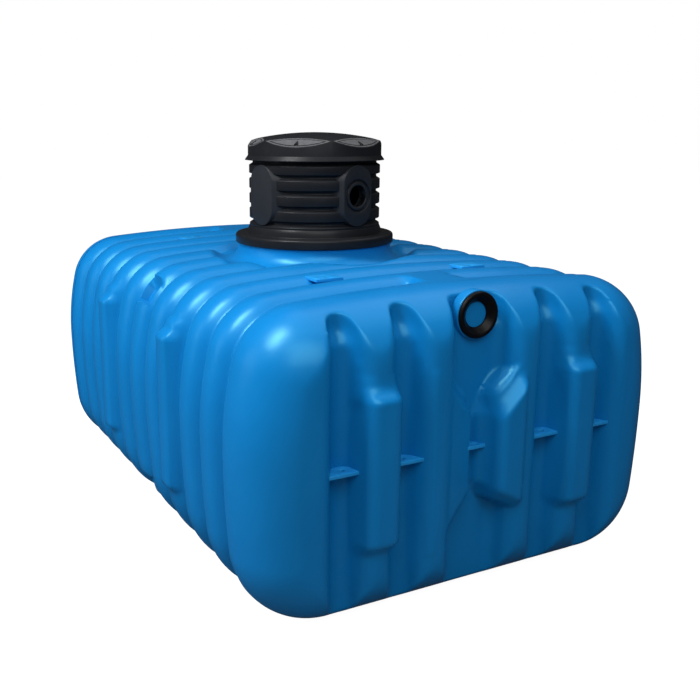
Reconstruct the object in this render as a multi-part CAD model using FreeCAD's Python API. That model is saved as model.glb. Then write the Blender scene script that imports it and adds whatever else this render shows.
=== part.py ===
import FreeCAD
import Part
import math
import os

Vector = FreeCAD.Vector

# Tank body, in millimetres
TANK_LENGTH = 2868.0
TANK_WIDTH = 2006.0
TANK_HEIGHT = 1290.0
WIDEST_LEVEL = 702.0
WALL = 10.0
SEAT_GAP = 0.3
RIB_GAP = 0.8
ROOF_RISE = 56.0
UPPER_SIDE_LEAN = 126.0
LOWER_SIDE_LEAN = 57.0
SHOULDER_RADIUS = 280.0
HAUNCH_RADIUS = 332.0

# Ring ribs round the tank, as many as fit between the rounded ends
RIB_PITCH = 233.0
RIB_DEPTH = 52.0
RIB_CREST_SHARE = 0.8

# End walls with upright ribs
END_ROUNDING = 258.0
END_RIB_PITCH = 270.0
END_MIDDLE_FLAT = 160.0
END_RIB_DEPTH = 105.0
END_RIB_CREST_SHARE = 0.58
END_CRESTS = 6
END_FACE_SPARE = 5.0

# Columns standing on the end ribs, with wings beside the middle groove
COLUMN_WIDTH = 132.0
COLUMN_PROUD = 42.0
COLUMN_ROUNDING = 36.0
COLUMN_FOOT = 300.0
COLUMN_HEAD_DROP = 300.0
COLUMN_FOOT_BEVEL = 55.0
COLUMN_HEAD_BEVEL = 75.0
WING_WIDTH = 80.0
WING_SETBACK = 24.0
WING_FOOT = 300.0
WING_HEAD_DROP = 360.0

# Columns standing on the side ribs
SIDE_COLUMN_RIB = 2
SIDE_COLUMN_WIDTH = 140.0
SIDE_COLUMN_PROUD = 9.0
SIDE_COLUMN_FOOT_DROP = 32.0
SIDE_COLUMN_HEAD_DROP = 240.0
SIDE_COLUMN_BEVEL = 80.0
SIDE_COLUMN_ROUNDING = 30.0

# Hand pockets in the middle rib, one in each shoulder and each haunch
POCKET_WIDTH = 84.0
POCKET_DEPTH = 62.0
POCKET_SHELF_DROP = 198.0
POCKET_HEIGHT = 108.0
LOW_POCKET_SHELF = 120.0
LOW_POCKET_HEIGHT = 88.0

# Anchor lugs in the end grooves
ANCHOR_LEVEL = 640.0
ANCHOR_THICKNESS = 14.0
ANCHOR_REACH = 76.0
ANCHOR_HOLE = 22.0

# Lifting lugs in two roof grooves, and saddles across the outermost ones
ROOF_LUG_ACROSS = 375.0
ROOF_LUG_WIDTH = 130.0
ROOF_LUG_DROP = 38.0
ROOF_LUG_THICKNESS = 14.0
ROOF_LUG_HOLE = 22.0
SADDLE_WIDTH = 220.0

# Inlet in the front end wall
INLET_DROP = 110.0
INLET_SETBACK = 88.0
INLET_DEPTH = 16.0
INLET_BORE = 103.0
INLET_LIP = 9.0
SEAL_WALL = 42.5
SEAL_PROUD = 14.0

# Neck on the roof
NECK_RISE = 36.0
NECK_FLARE = 66.0
NECK_INSET = 12.0
TRENCH_WIDTH = 87.0

# Riser on the neck
RISER_BORE = 600.0
RISER_WALL = 14.0
FLANGE_REACH = 52.0
FLANGE_HEIGHT = 46.0
FLANGE_BEVEL = 9.0
BASE_SPREAD = 20.0
BASE_STEP = 22.0
BASE_HEIGHT = 40.0
SHAFT_HEIGHT = 340.0
SHAFT_RIB_PROUD = 18.0
SHAFT_GROOVE_RISE = 26.0
SHAFT_GROOVE_PITCH = 74.0
SHAFT_GROOVE_WIDTH = 12.0
SHAFT_GROOVE_BEVEL = 11.0
SHAFT_COLLAR = 24.0

# Oval bosses on the riser, one with a pipe socket
BOSS_WIDTH = 176.0
BOSS_DRAFT = 40.0
BOSS_PROUD = 4.0
BOSS_TURN = 10.5
BOSS_FOOT_GAP = 11.0
BOSS_TOP_GAP = 18.0
SOCKET_BORE = 104.0
SOCKET_COLLAR_WALL = 15.0
SOCKET_RECESS_WIDTH = 12.0
SOCKET_RECESS_DEPTH = 10.0

# Lid on the riser
LID_OVERLAP = 17.0
LID_GAP = 6.0
LID_SKIRT_WALL = 17.0
LID_FLARE = 15.0
LID_FLARE_HEIGHT = 23.0
LID_BAND_HEIGHT = 95.0
LID_DOME_RISE = 40.0
LID_WALL = 10.0
LID_INNER_RISE = 34.0
LID_FACET_COUNT = 6
LID_FACET_TURN = 16.0
LID_FACET_DROP = 31.0
LID_FACET_SLOPE = 40.0

# Body places worked out from the sizes above
HALF_WIDTH = TANK_WIDTH / 2
HALF_LENGTH = TANK_LENGTH / 2
RING_CRESTS = 2 * int((HALF_LENGTH - END_ROUNDING) // RIB_PITCH) + 1
BARREL_HALF = (RING_CRESTS - 1) / 2 * RIB_PITCH
FILL_DEPTH = 3 * RIB_DEPTH
COLUMN_HEAD = TANK_HEIGHT - COLUMN_HEAD_DROP
WING_HEAD = TANK_HEIGHT - WING_HEAD_DROP
SIDE_COLUMN_HEAD = TANK_HEIGHT - SIDE_COLUMN_HEAD_DROP
SIDE_COLUMN_FOOT = HAUNCH_RADIUS - SIDE_COLUMN_FOOT_DROP
POCKET_SHELF = TANK_HEIGHT - POCKET_SHELF_DROP
ROOF_LUG_LEVEL = TANK_HEIGHT - ROOF_LUG_DROP
ROOF_LUG_MIDDLE = BARREL_HALF - 1.5 * RIB_PITCH
SADDLE_MIDDLE = BARREL_HALF - 0.5 * RIB_PITCH
INLET_LEVEL = TANK_HEIGHT - INLET_DROP
INLET_FACE = HALF_LENGTH - INLET_SETBACK
SEAL_RADIUS = INLET_BORE / 2 + SEAL_WALL
INLET_BOSS_RADIUS = SEAL_RADIUS + INLET_LIP

# Riser and lid places worked out from the sizes above, by radius
SHAFT_RADIUS = RISER_BORE / 2 + RISER_WALL + SHAFT_RIB_PROUD
BASE_RADIUS = SHAFT_RADIUS + BASE_SPREAD
FLANGE_RADIUS = BASE_RADIUS + FLANGE_REACH
NECK_TOP_RADIUS = FLANGE_RADIUS - NECK_INSET
NECK_TRENCH_RADIUS = NECK_TOP_RADIUS + NECK_FLARE + TRENCH_WIDTH
NECK_TOP = TANK_HEIGHT + NECK_RISE
SHAFT_BOTTOM = NECK_TOP + FLANGE_HEIGHT + BASE_HEIGHT
SHAFT_TOP = SHAFT_BOTTOM + SHAFT_HEIGHT
LID_BOTTOM = SHAFT_TOP - LID_OVERLAP
LID_BAND_TOP = LID_BOTTOM + LID_BAND_HEIGHT
LID_CROWN = LID_BAND_TOP + LID_DOME_RISE
LID_INNER_HEIGHT = SHAFT_TOP + LID_INNER_RISE
LID_SKIRT = RISER_BORE / 2 + RISER_WALL + LID_GAP
LID_BAND = LID_SKIRT + LID_SKIRT_WALL
LID_RIM = LID_BAND + LID_FLARE
SHAFT_SHOULDER = LID_BOTTOM - SHAFT_COLLAR
GROOVE_FIRST = SHAFT_BOTTOM + SHAFT_GROOVE_RISE
GROOVE_ROOM = SHAFT_SHOULDER - GROOVE_FIRST - SHAFT_GROOVE_WIDTH - SHAFT_GROOVE_BEVEL
GROOVE_COUNT = 1 + int(GROOVE_ROOM // SHAFT_GROOVE_PITCH)
BOSS_FACE = SHAFT_RADIUS + BOSS_PROUD
BOSS_HEIGHT = LID_BOTTOM - SHAFT_BOTTOM - BOSS_TOP_GAP - BOSS_FOOT_GAP
BOSS_LEVEL = SHAFT_BOTTOM + BOSS_FOOT_GAP + BOSS_HEIGHT / 2
SOCKET_COLLAR_RADIUS = SOCKET_BORE / 2 + SOCKET_COLLAR_WALL
SOCKET_RECESS_RADIUS = SOCKET_COLLAR_RADIUS + SOCKET_RECESS_WIDTH
Y_AXIS = Vector(0, 1, 0)
Z_AXIS = Vector(0, 0, 1)
TINY = 1e-3


def arc_radius(half_chord, rise):
    """Radius of an arc that falls by rise over half_chord from its crown."""
    return (half_chord ** 2 + rise ** 2) / (2 * rise)


class Wave:
    """Rounded rib wave of two tangent arcs, a crest and a groove."""

    def __init__(self, pitch, depth, crest_share):
        self.pitch = pitch
        self.depth = depth
        self.turn = 2 * math.atan(depth / (pitch / 2))
        both = (pitch / 2) / math.sin(self.turn)
        self.crest = both * crest_share
        self.groove = both - self.crest

    def points(self, crests, wall):
        """Start, middle and end (along, depth) of each arc from the first crest to the last."""
        crest = self.crest - wall
        groove = self.groove + wall
        sine, cosine = math.sin(self.turn), math.cos(self.turn)
        flank = self.crest - crest * cosine
        arcs = []
        for rib in range(crests):
            along = (rib - (crests - 1) / 2) * self.pitch
            left = (along - crest * sine, flank) if rib > 0 else (along, wall)
            right = (along + crest * sine, flank) if rib < crests - 1 else (along, wall)
            middle = (left[0] + right[0]) / 2
            swing = math.sqrt(crest ** 2 - (middle - along) ** 2)
            arcs.append((left, (middle, self.crest - swing), right))
            if rib < crests - 1:
                bottom = along + self.pitch / 2
                arcs.append((right, (bottom, self.depth + wall), (bottom + groove * sine, flank)))
        return arcs

    def parted(self, crests, wall, flat):
        """The same wave with a flat of that width in its middle groove."""
        groove = self.groove + wall
        low = self.depth + wall
        dip = (groove * math.sin(self.turn / 2), low - groove * (1 - math.cos(self.turn / 2)))
        arcs = []
        for arc in self.points(crests, wall):
            middle = arc[1][0]
            if abs(middle) > self.pitch / 4:
                shift = math.copysign(flat / 2, middle)
                arcs.append(tuple((along + shift, depth) for along, depth in arc))
                continue
            reach, flank = arc[2]
            right = ((flat / 2, low), (flat / 2 + dip[0], dip[1]), (flat / 2 + reach, flank))
            arcs.append(tuple((-along, depth) for along, depth in reversed(right)))
            arcs.append(right)
        return arcs


RING_WAVE = Wave(RIB_PITCH, RIB_DEPTH, RIB_CREST_SHARE)
END_WAVE = Wave(END_RIB_PITCH, END_RIB_DEPTH, END_RIB_CREST_SHARE)


class Section:
    """Cross-section of the tank: crowned roof, leaning sides, round corners, flat floor."""

    def __init__(self):
        upper = TANK_HEIGHT - WIDEST_LEVEL
        self.upper_side = arc_radius(upper, UPPER_SIDE_LEAN)
        self.lower_side = arc_radius(WIDEST_LEVEL, LOWER_SIDE_LEAN)
        self.roof = arc_radius(HALF_WIDTH, ROOF_RISE)
        self.upper_centre = (HALF_WIDTH - self.upper_side, WIDEST_LEVEL)
        self.lower_centre = (HALF_WIDTH - self.lower_side, WIDEST_LEVEL)
        self.roof_centre = (0.0, TANK_HEIGHT - self.roof)
        self.shoulder_centre = self.meet(self.upper_centre, self.upper_side - SHOULDER_RADIUS,
                                         self.roof_centre, self.roof - SHOULDER_RADIUS)
        drop = WIDEST_LEVEL - HAUNCH_RADIUS
        reach = math.sqrt((self.lower_side - HAUNCH_RADIUS) ** 2 - drop ** 2)
        self.haunch_centre = (self.lower_centre[0] + reach, HAUNCH_RADIUS)
        self.side_turn = self.angle(self.upper_centre, self.shoulder_centre)
        self.roof_turn = self.angle(self.roof_centre, self.shoulder_centre)
        self.haunch_turn = self.angle(self.lower_centre, self.haunch_centre)

    @staticmethod
    def angle(start, end):
        """Direction from start to end in degrees, in the X-Z plane."""
        return math.degrees(math.atan2(end[1] - start[1], end[0] - start[0]))

    @staticmethod
    def meet(first, first_radius, second, second_radius):
        """Upper right point at the two distances from the two centres."""
        across, up = second[0] - first[0], second[1] - first[1]
        gap = math.hypot(across, up)
        along = (first_radius ** 2 - second_radius ** 2 + gap ** 2) / (2 * gap)
        height = math.sqrt(first_radius ** 2 - along ** 2)
        foot = (first[0] + across * along / gap, first[1] + up * along / gap)
        sides = [(foot[0] - up * h / gap, foot[1] + across * h / gap) for h in (height, -height)]
        return max(sides, key=lambda point: point[0] + point[1])

    def zones(self):
        """Right-hand arcs as name, centre, radius, first and last angle."""
        return [("upper_side", self.upper_centre, self.upper_side, 0.0, self.side_turn),
                ("shoulder", self.shoulder_centre, SHOULDER_RADIUS, self.side_turn, self.roof_turn),
                ("lower_side", self.lower_centre, self.lower_side, self.haunch_turn, 0.0),
                ("haunch", self.haunch_centre, HAUNCH_RADIUS, -90.0, self.haunch_turn)]

    def outline(self, along, wall):
        """Closed face across the tank at a station, wall inside the outer line."""
        def point(centre, radius, degrees, mirror):
            turn = math.radians(degrees)
            across = centre[0] + (radius - wall) * math.cos(turn)
            return Vector(mirror * across, along, centre[1] + (radius - wall) * math.sin(turn))

        edges = []
        for mirror in (1, -1):
            for _, centre, radius, first, last in self.zones():
                ends = [point(centre, radius, a, mirror) for a in (first, (first + last) / 2, last)]
                edges.append(Part.Arc(*ends).toShape())
        crown = [point(self.roof_centre, self.roof, a, 1)
                 for a in (self.roof_turn, 90.0, 180.0 - self.roof_turn)]
        edges.append(Part.Arc(*crown).toShape())
        floor = [Vector(side * self.haunch_centre[0], along, wall) for side in (-1, 1)]
        edges.append(Part.LineSegment(*floor).toShape())
        return Part.Face(Part.Wire(Part.__sortEdges__(edges)))


SECTION = Section()


def arc_edges(arcs, place):
    """Edges of a chain of three-point arcs, set in space by place(along, depth)."""
    return [Part.Arc(*[place(*point) for point in arc]).toShape() for arc in arcs]


def wave_face(place, filled=False):
    """Wall section along the barrel, or one filled well below the grooves and a rib's gap proud."""
    outer = RING_WAVE.points(RING_CRESTS, -RIB_GAP if filled else 0.0)
    edges = arc_edges(outer, place)
    first, last = outer[0][0], outer[-1][2]
    if not filled:
        inner = RING_WAVE.points(RING_CRESTS, WALL)
        edges += arc_edges(inner, place)
        inside = (inner[0][0], inner[-1][2])
    else:
        inside = ((first[0], FILL_DEPTH), (last[0], FILL_DEPTH))
        edges.append(Part.LineSegment(place(*inside[0]), place(*inside[1])).toShape())
    edges.append(Part.LineSegment(place(*first), place(*inside[0])).toShape())
    edges.append(Part.LineSegment(place(*last), place(*inside[1])).toShape())
    return Part.Face(Part.Wire(Part.__sortEdges__(edges)))


def ribbed_zone(centre, radius, first, last, filled=False):
    """Barrel strip: the rib section turned about the arc's own axis."""
    turn = math.radians(first)

    def place(along, depth):
        reach = radius - depth
        return Vector(centre[0] + reach * math.cos(turn), along, centre[1] + reach * math.sin(turn))

    pivot = Vector(centre[0], 0, centre[1])
    return wave_face(place, filled).revolve(pivot, -Y_AXIS, last - first)


def mirrored(shape):
    """The same shape on the other side of the tank."""
    return shape.mirror(Vector(0, 0, 0), Vector(1, 0, 0))


def turned(shape):
    """The same shape turned half round to the other end."""
    copy = shape.copy()
    copy.rotate(Vector(0, 0, 0), Z_AXIS, 180)
    return copy


def disc(radius, bottom, height):
    """Upright cylinder on the riser's axis."""
    return Part.makeCylinder(radius, height, Vector(0, 0, bottom))


def ring(outer, inner, bottom, height):
    """Upright ring on the riser's axis, by radius."""
    return disc(outer, bottom, height).cut(disc(inner, bottom, height))


def turned_profile(points):
    """Ring turned from a closed outline of (radius, height) corners."""
    corners = [Vector(radius, 0, height) for radius, height in points]
    return Part.Face(Part.makePolygon(corners + corners[:1])).revolve(Vector(0, 0, 0), Z_AXIS, 360)


def barrel_strips():
    """Side, shoulder and haunch strips of both sides, and the floor."""
    strips = {}
    pockets = {"shoulder": (POCKET_SHELF, POCKET_HEIGHT), "haunch": (LOW_POCKET_SHELF, LOW_POCKET_HEIGHT)}
    for name, *zone in SECTION.zones():
        strip = ribbed_zone(*zone)
        if name in pockets:
            strip = pocketed(strip, zone, *pockets[name])
        strips["right_" + name] = strip
        strips["left_" + name] = mirrored(strip)

    def place(along, depth):
        return Vector(-SECTION.haunch_centre[0], along, depth)

    strips["floor"] = wave_face(place).extrude(Vector(2 * SECTION.haunch_centre[0], 0, 0))
    return strips


def roof_zone(filled=False):
    """Crowned roof strip, as a wall or filled."""
    turn = SECTION.roof_turn
    return ribbed_zone(SECTION.roof_centre, SECTION.roof, turn, 180.0 - turn, filled)


def end_places(first_step):
    """Places across the end wall, on one side and the other, each rib pitch from first_step."""
    steps = [first_step + step for step in range(END_CRESTS // 2)]
    right = [END_MIDDLE_FLAT / 2 + step * END_RIB_PITCH for step in steps]
    return [-across for across in reversed(right)] + right


def end_ribs():
    """Middles of the end ribs that carry columns."""
    return end_places(0.5)[1:-1]


def end_grooves():
    """Middles of the end grooves."""
    return end_places(1.0)[1:3] + [0.0] + end_places(1.0)[3:5]


def end_prism(wall):
    """Upright corrugated block that bounds the end ribs."""
    def place(along, depth):
        return Vector(along, depth - HALF_LENGTH, -TANK_HEIGHT)

    arcs = END_WAVE.parted(END_CRESTS, wall, END_MIDDLE_FLAT)
    edges = arc_edges(arcs, place)
    flat = [place(side * END_MIDDLE_FLAT / 2, END_RIB_DEPTH + wall) for side in (-1, 1)]
    edges.append(Part.LineSegment(*flat).toShape())
    first, last = place(*arcs[0][0]), place(*arcs[-1][2])
    corners = [first, Vector(-TANK_WIDTH, first.y, first.z), Vector(-TANK_WIDTH, 0, first.z),
               Vector(TANK_WIDTH, 0, last.z), Vector(TANK_WIDTH, last.y, last.z), last]
    edges += [Part.LineSegment(a, b).toShape() for a, b in zip(corners, corners[1:])]
    return Part.Face(Part.Wire(Part.__sortEdges__(edges))).extrude(Vector(0, 0, 3 * TANK_HEIGHT))


def end_block(wall):
    """Front end as a filled block, wall inside the outer surface."""
    length = HALF_LENGTH + END_FACE_SPARE - wall - BARREL_HALF
    block = SECTION.outline(-BARREL_HALF, wall).extrude(Vector(0, -length, 0))
    face_level = -BARREL_HALF - length
    rim = [edge for edge in block.Edges
           if abs(edge.BoundBox.YMin - face_level) < TINY and edge.BoundBox.YLength < TINY]
    return block.makeFillet(END_ROUNDING - wall, rim).common(end_prism(wall))


def bevelled_post(middle, width, front, crest, back, heights, bevels, rounding):
    """Upright post on a wall to the front: foot and head heights at crest, bevelled out to front."""
    foot, head = heights
    slopes = [bevel / (crest - front) for bevel in bevels]
    side = [Vector(middle, back, foot - slopes[0] * (back - crest)),
            Vector(middle, front, foot + slopes[0] * (crest - front)),
            Vector(middle, front, head - slopes[1] * (crest - front)),
            Vector(middle, back, head + slopes[1] * (back - crest))]
    face = Part.Face(Part.makePolygon(side + side[:1]))
    face.translate(Vector(-width / 2, 0, 0))
    post = face.extrude(Vector(width, 0, 0))
    upright = [edge for edge in post.Edges
               if edge.BoundBox.XLength < TINY and abs(edge.BoundBox.YMin - front) < TINY
               and edge.BoundBox.YLength < TINY]
    return post.makeFillet(rounding, upright)


def end_columns():
    """Columns on the front end ribs, and the wings of the two beside the middle groove."""
    front, back = -HALF_LENGTH - COLUMN_PROUD, -HALF_LENGTH + END_RIB_DEPTH
    bevels = (COLUMN_FOOT_BEVEL, COLUMN_HEAD_BEVEL)
    posts = [bevelled_post(across, COLUMN_WIDTH, front, -HALF_LENGTH, back,
                           (COLUMN_FOOT, COLUMN_HEAD), bevels, COLUMN_ROUNDING)
             for across in end_ribs()]
    inner_rib = END_MIDDLE_FLAT / 2 + END_RIB_PITCH / 2
    beside = inner_rib - COLUMN_WIDTH / 2 - WING_WIDTH / 2
    wing_front = -HALF_LENGTH + WING_SETBACK
    posts += [bevelled_post(side * beside, WING_WIDTH, wing_front, wing_front + COLUMN_PROUD, back,
                            (WING_FOOT, WING_HEAD), bevels, WING_WIDTH / 3)
              for side in (-1, 1)]
    return posts


def side_columns():
    """Posts on two ribs of the right side, clear of the barrel by the rib's gap."""
    front, back = -HALF_WIDTH - SIDE_COLUMN_PROUD, -HALF_WIDTH + 2 * RIB_DEPTH
    bevels = (SIDE_COLUMN_BEVEL / 2, SIDE_COLUMN_BEVEL)
    crest = front + RIB_DEPTH
    barrel = [ribbed_zone(*zone[1:], True) for zone in SECTION.zones()]
    posts = []
    for end in (-1, 1):
        post = bevelled_post(end * SIDE_COLUMN_RIB * RIB_PITCH, SIDE_COLUMN_WIDTH, front, crest, back,
                             (SIDE_COLUMN_FOOT, SIDE_COLUMN_HEAD), bevels, SIDE_COLUMN_ROUNDING)
        post.rotate(Vector(0, 0, 0), Z_AXIS, 90)
        posts.append(post.cut(barrel))
    return Part.makeCompound(posts)


def pocketed(strip, zone, shelf, height):
    """Strip with a lined pocket in its middle rib, above a shelf."""
    centre, radius, first, last = zone
    middle = math.radians((first + last) / 2)
    reach = centre[0] + radius * math.cos(middle) - POCKET_DEPTH
    box = Part.makeBox(TANK_WIDTH, POCKET_WIDTH, height, Vector(reach, -POCKET_WIDTH / 2, shelf))
    liner = Part.makeBox(TANK_WIDTH, POCKET_WIDTH + 2 * WALL, height + 2 * WALL,
                         Vector(reach - WALL, -POCKET_WIDTH / 2 - WALL, shelf - WALL))
    inside = ribbed_zone(centre, radius - WALL / 2, first, last, True)
    return strip.fuse(liner.common(inside)).cut(box).removeSplitter()


def largest(shape):
    """The biggest solid of a cut shape, without the offcuts."""
    return max(shape.Solids, key=lambda solid: solid.Volume)


def anchor_lugs():
    """Level webs across the front end grooves, each with its hole."""
    root = -HALF_LENGTH + END_RIB_DEPTH
    tip = root - ANCHOR_REACH
    around = [end_prism(-RIB_GAP)] + end_columns()
    lugs = []
    for across in end_grooves():
        web = Part.makeBox(END_RIB_PITCH, ANCHOR_REACH, ANCHOR_THICKNESS,
                           Vector(across - END_RIB_PITCH / 2, tip, ANCHOR_LEVEL))
        hole = Part.makeCylinder(ANCHOR_HOLE / 2, ANCHOR_THICKNESS,
                                 Vector(across, tip + ANCHOR_REACH / 2, ANCHOR_LEVEL))
        lugs.append(largest(web.cut(around + [hole])))
    return Part.makeCompound(lugs)


def roof_lugs(roof):
    """Level webs across two grooves of the filled roof, each with its hole."""
    lugs = []
    for end in (-1, 1):
        for side in (-1, 1):
            middle = Vector(side * ROOF_LUG_ACROSS, end * ROOF_LUG_MIDDLE, ROOF_LUG_LEVEL)
            corner = middle - Vector(ROOF_LUG_WIDTH / 2, RIB_PITCH / 2, 0)
            web = Part.makeBox(ROOF_LUG_WIDTH, RIB_PITCH, ROOF_LUG_THICKNESS, corner)
            hole = Part.makeCylinder(ROOF_LUG_HOLE / 2, ROOF_LUG_THICKNESS, middle)
            lugs.append(web.cut([roof, hole]))
    return Part.makeCompound(lugs)


def roof_saddles(roof):
    """Blocks that bridge the outermost grooves of the filled roof on the middle line."""
    saddles = []
    for end in (-1, 1):
        middle = end * SADDLE_MIDDLE
        low = TANK_HEIGHT - 2 * RIB_DEPTH
        block = Part.makeBox(SADDLE_WIDTH, RIB_PITCH, TANK_HEIGHT - low,
                             Vector(-SADDLE_WIDTH / 2, middle - RIB_PITCH / 2, low))
        saddles.append(block.cut(roof))
    return Part.makeCompound(saddles)


def end_shell(inside):
    """Front end shell round its hollow, with its ribs and columns."""
    columns = [column.cut(inside) for column in end_columns()]
    return end_block(0.0).cut(inside).fuse(columns).removeSplitter()


def with_inlet(shell, inside):
    """End shell with the inlet boss and its pocket for the seal."""
    face = Vector(0, -INLET_FACE, INLET_LEVEL)
    boss = Part.makeCylinder(INLET_BOSS_RADIUS, INLET_FACE - BARREL_HALF, face, Y_AXIS)
    pocket = Part.makeCylinder(SEAL_RADIUS + SEAT_GAP, INLET_DEPTH, face, Y_AXIS)
    return shell.fuse(boss.cut(inside)).removeSplitter().cut(pocket)


def inlet_seal():
    """Rubber pipe seal in the inlet boss."""
    length = INLET_DEPTH + SEAL_PROUD - SEAT_GAP
    front = Vector(0, -INLET_FACE - SEAL_PROUD, INLET_LEVEL)
    body = Part.makeCylinder(SEAL_RADIUS, length, front, Y_AXIS)
    bore = Part.makeCylinder(INLET_BORE / 2, length, front, Y_AXIS)
    return body.cut(bore)


def neck_collar():
    """Flared neck with the round trench that the roof ribs end at."""
    low = TANK_HEIGHT - RIB_DEPTH - WALL
    flare = NECK_TOP_RADIUS + NECK_FLARE
    profile = [(NECK_TRENCH_RADIUS, low), (NECK_TRENCH_RADIUS, low + WALL), (flare, low + WALL),
               (NECK_TOP_RADIUS + NECK_FLARE / 3, low + WALL + NECK_FLARE / 4),
               (NECK_TOP_RADIUS, low + WALL + NECK_FLARE), (NECK_TOP_RADIUS, NECK_TOP),
               (RISER_BORE / 2, NECK_TOP), (RISER_BORE / 2, NECK_TOP - WALL),
               (NECK_TOP_RADIUS - WALL, NECK_TOP - WALL), (NECK_TOP_RADIUS - WALL, low)]
    return turned_profile(profile)


def upstand(roof):
    """Curb that closes the rib ends of the filled roof round the trench."""
    low = TANK_HEIGHT - RIB_DEPTH - WALL
    curb = ring(NECK_TRENCH_RADIUS, NECK_TRENCH_RADIUS - WALL, low, RIB_DEPTH + 2 * WALL)
    return curb.common(roof)


def riser_flange():
    """Flange, step and sloping base of the riser."""
    bore = RISER_BORE / 2
    shelf = NECK_TOP + FLANGE_HEIGHT
    return turned_profile([(bore, NECK_TOP), (FLANGE_RADIUS, NECK_TOP),
                           (FLANGE_RADIUS, shelf - FLANGE_BEVEL), (FLANGE_RADIUS - FLANGE_BEVEL, shelf),
                           (BASE_RADIUS, shelf), (BASE_RADIUS, shelf + BASE_STEP), (SHAFT_RADIUS, SHAFT_BOTTOM),
                           (bore, SHAFT_BOTTOM)])


def shaft_tube():
    """Shaft turned from its rib profile, with a plain collar at the top for the lid."""
    bore = RISER_BORE / 2
    low = bore + RISER_WALL
    profile = [(bore, SHAFT_BOTTOM), (SHAFT_RADIUS, SHAFT_BOTTOM)]
    for groove in range(GROOVE_COUNT):
        level = GROOVE_FIRST + groove * SHAFT_GROOVE_PITCH
        profile += [(SHAFT_RADIUS, level - SHAFT_GROOVE_WIDTH / 2 - SHAFT_GROOVE_BEVEL),
                    (low, level - SHAFT_GROOVE_WIDTH / 2),
                    (low, level + SHAFT_GROOVE_WIDTH / 2),
                    (SHAFT_RADIUS, level + SHAFT_GROOVE_WIDTH / 2 + SHAFT_GROOVE_BEVEL / 2)]
    profile += [(SHAFT_RADIUS, SHAFT_SHOULDER), (low, SHAFT_SHOULDER + SHAFT_GROOVE_BEVEL),
                (low, SHAFT_TOP), (bore, SHAFT_TOP)]
    return turned_profile(profile)


def oval(width, height, back):
    """Upright oval wire in front of the riser."""
    radius = width / 2
    rise = height / 2 - radius
    high, low = BOSS_LEVEL + rise, BOSS_LEVEL - rise
    edges = [Part.Arc(Vector(radius, back, high), Vector(0, back, high + radius),
                      Vector(-radius, back, high)).toShape(),
             Part.LineSegment(Vector(-radius, back, high), Vector(-radius, back, low)).toShape(),
             Part.Arc(Vector(-radius, back, low), Vector(0, back, low - radius),
                      Vector(radius, back, low)).toShape(),
             Part.LineSegment(Vector(radius, back, low), Vector(radius, back, high)).toShape()]
    return Part.Wire(edges)


def riser_shaft():
    """Ribbed shaft with four drafted oval bosses, the front one bored for a pipe."""
    inner = RISER_BORE / 2
    bore = disc(inner, SHAFT_BOTTOM, SHAFT_HEIGHT)
    root = -inner * math.cos(math.asin((BOSS_WIDTH / 2 + BOSS_DRAFT) / inner))
    boss = Part.makeLoft([oval(BOSS_WIDTH, BOSS_HEIGHT, -BOSS_FACE),
                          oval(BOSS_WIDTH + 2 * BOSS_DRAFT, BOSS_HEIGHT, root)], True, True)
    bosses = []
    for quarter in range(4):
        copy = boss.copy()
        copy.rotate(Vector(0, 0, 0), Z_AXIS, 90 * quarter)
        bosses.append(copy)
    face = Vector(0, -BOSS_FACE, BOSS_LEVEL)
    recess = Part.makeCylinder(SOCKET_RECESS_RADIUS, SOCKET_RECESS_DEPTH, face, Y_AXIS)
    collar = Part.makeCylinder(SOCKET_COLLAR_RADIUS, SOCKET_RECESS_DEPTH, face, Y_AXIS)
    socket = Part.makeCylinder(SOCKET_BORE / 2, BOSS_FACE, face, Y_AXIS)
    shaft = shaft_tube().fuse(bosses).cut([recess.cut(collar), bore, socket])
    shaft.rotate(Vector(0, 0, 0), Z_AXIS, BOSS_TURN)
    return shaft


def lid_facet(turn):
    """Block above the sloping flat that trims the lid's edge in one direction."""
    size = 2 * LID_RIM
    block = Part.makeBox(size, size, size, Vector(-size / 2, -size, 0))
    block.rotate(Vector(0, 0, 0), Vector(1, 0, 0), LID_FACET_SLOPE - 90)
    block.translate(Vector(0, -LID_BAND, LID_BAND_TOP - LID_FACET_DROP))
    block.rotate(Vector(0, 0, 0), Z_AXIS, turn)
    return block


def lid_cover():
    """Domed lid with flats round its edge and a flared rim, seated on the riser's top edge."""
    inside = RISER_BORE / 2 - LID_GAP

    def dome(reach, crown, edge):
        radius = arc_radius(reach, crown - edge)
        middle = reach / 2
        return [Vector(reach, 0, edge),
                Vector(middle, 0, crown - radius + math.sqrt(radius ** 2 - middle ** 2)), Vector(0, 0, crown)]

    top = dome(LID_BAND, LID_CROWN, LID_BAND_TOP)
    under = dome(inside, LID_CROWN - LID_WALL, LID_INNER_HEIGHT)
    corners = [top[0], Vector(LID_BAND, 0, LID_BOTTOM + LID_FLARE_HEIGHT), Vector(LID_RIM, 0, LID_BOTTOM),
               Vector(LID_SKIRT, 0, LID_BOTTOM), Vector(LID_SKIRT, 0, SHAFT_TOP),
               Vector(inside, 0, SHAFT_TOP), under[0]]
    edges = [Part.LineSegment(start, end).toShape() for start, end in zip(corners, corners[1:])]
    edges += [Part.Arc(*top).toShape(), Part.Arc(*under).toShape(),
              Part.LineSegment(top[2], under[2]).toShape()]
    face = Part.Face(Part.Wire(Part.__sortEdges__(edges)))
    lid = face.revolve(Vector(0, 0, 0), Z_AXIS, 360)
    turns = [LID_FACET_TURN + facet * 360 / LID_FACET_COUNT for facet in range(LID_FACET_COUNT)]
    return lid.cut([lid_facet(turn) for turn in turns])


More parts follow.
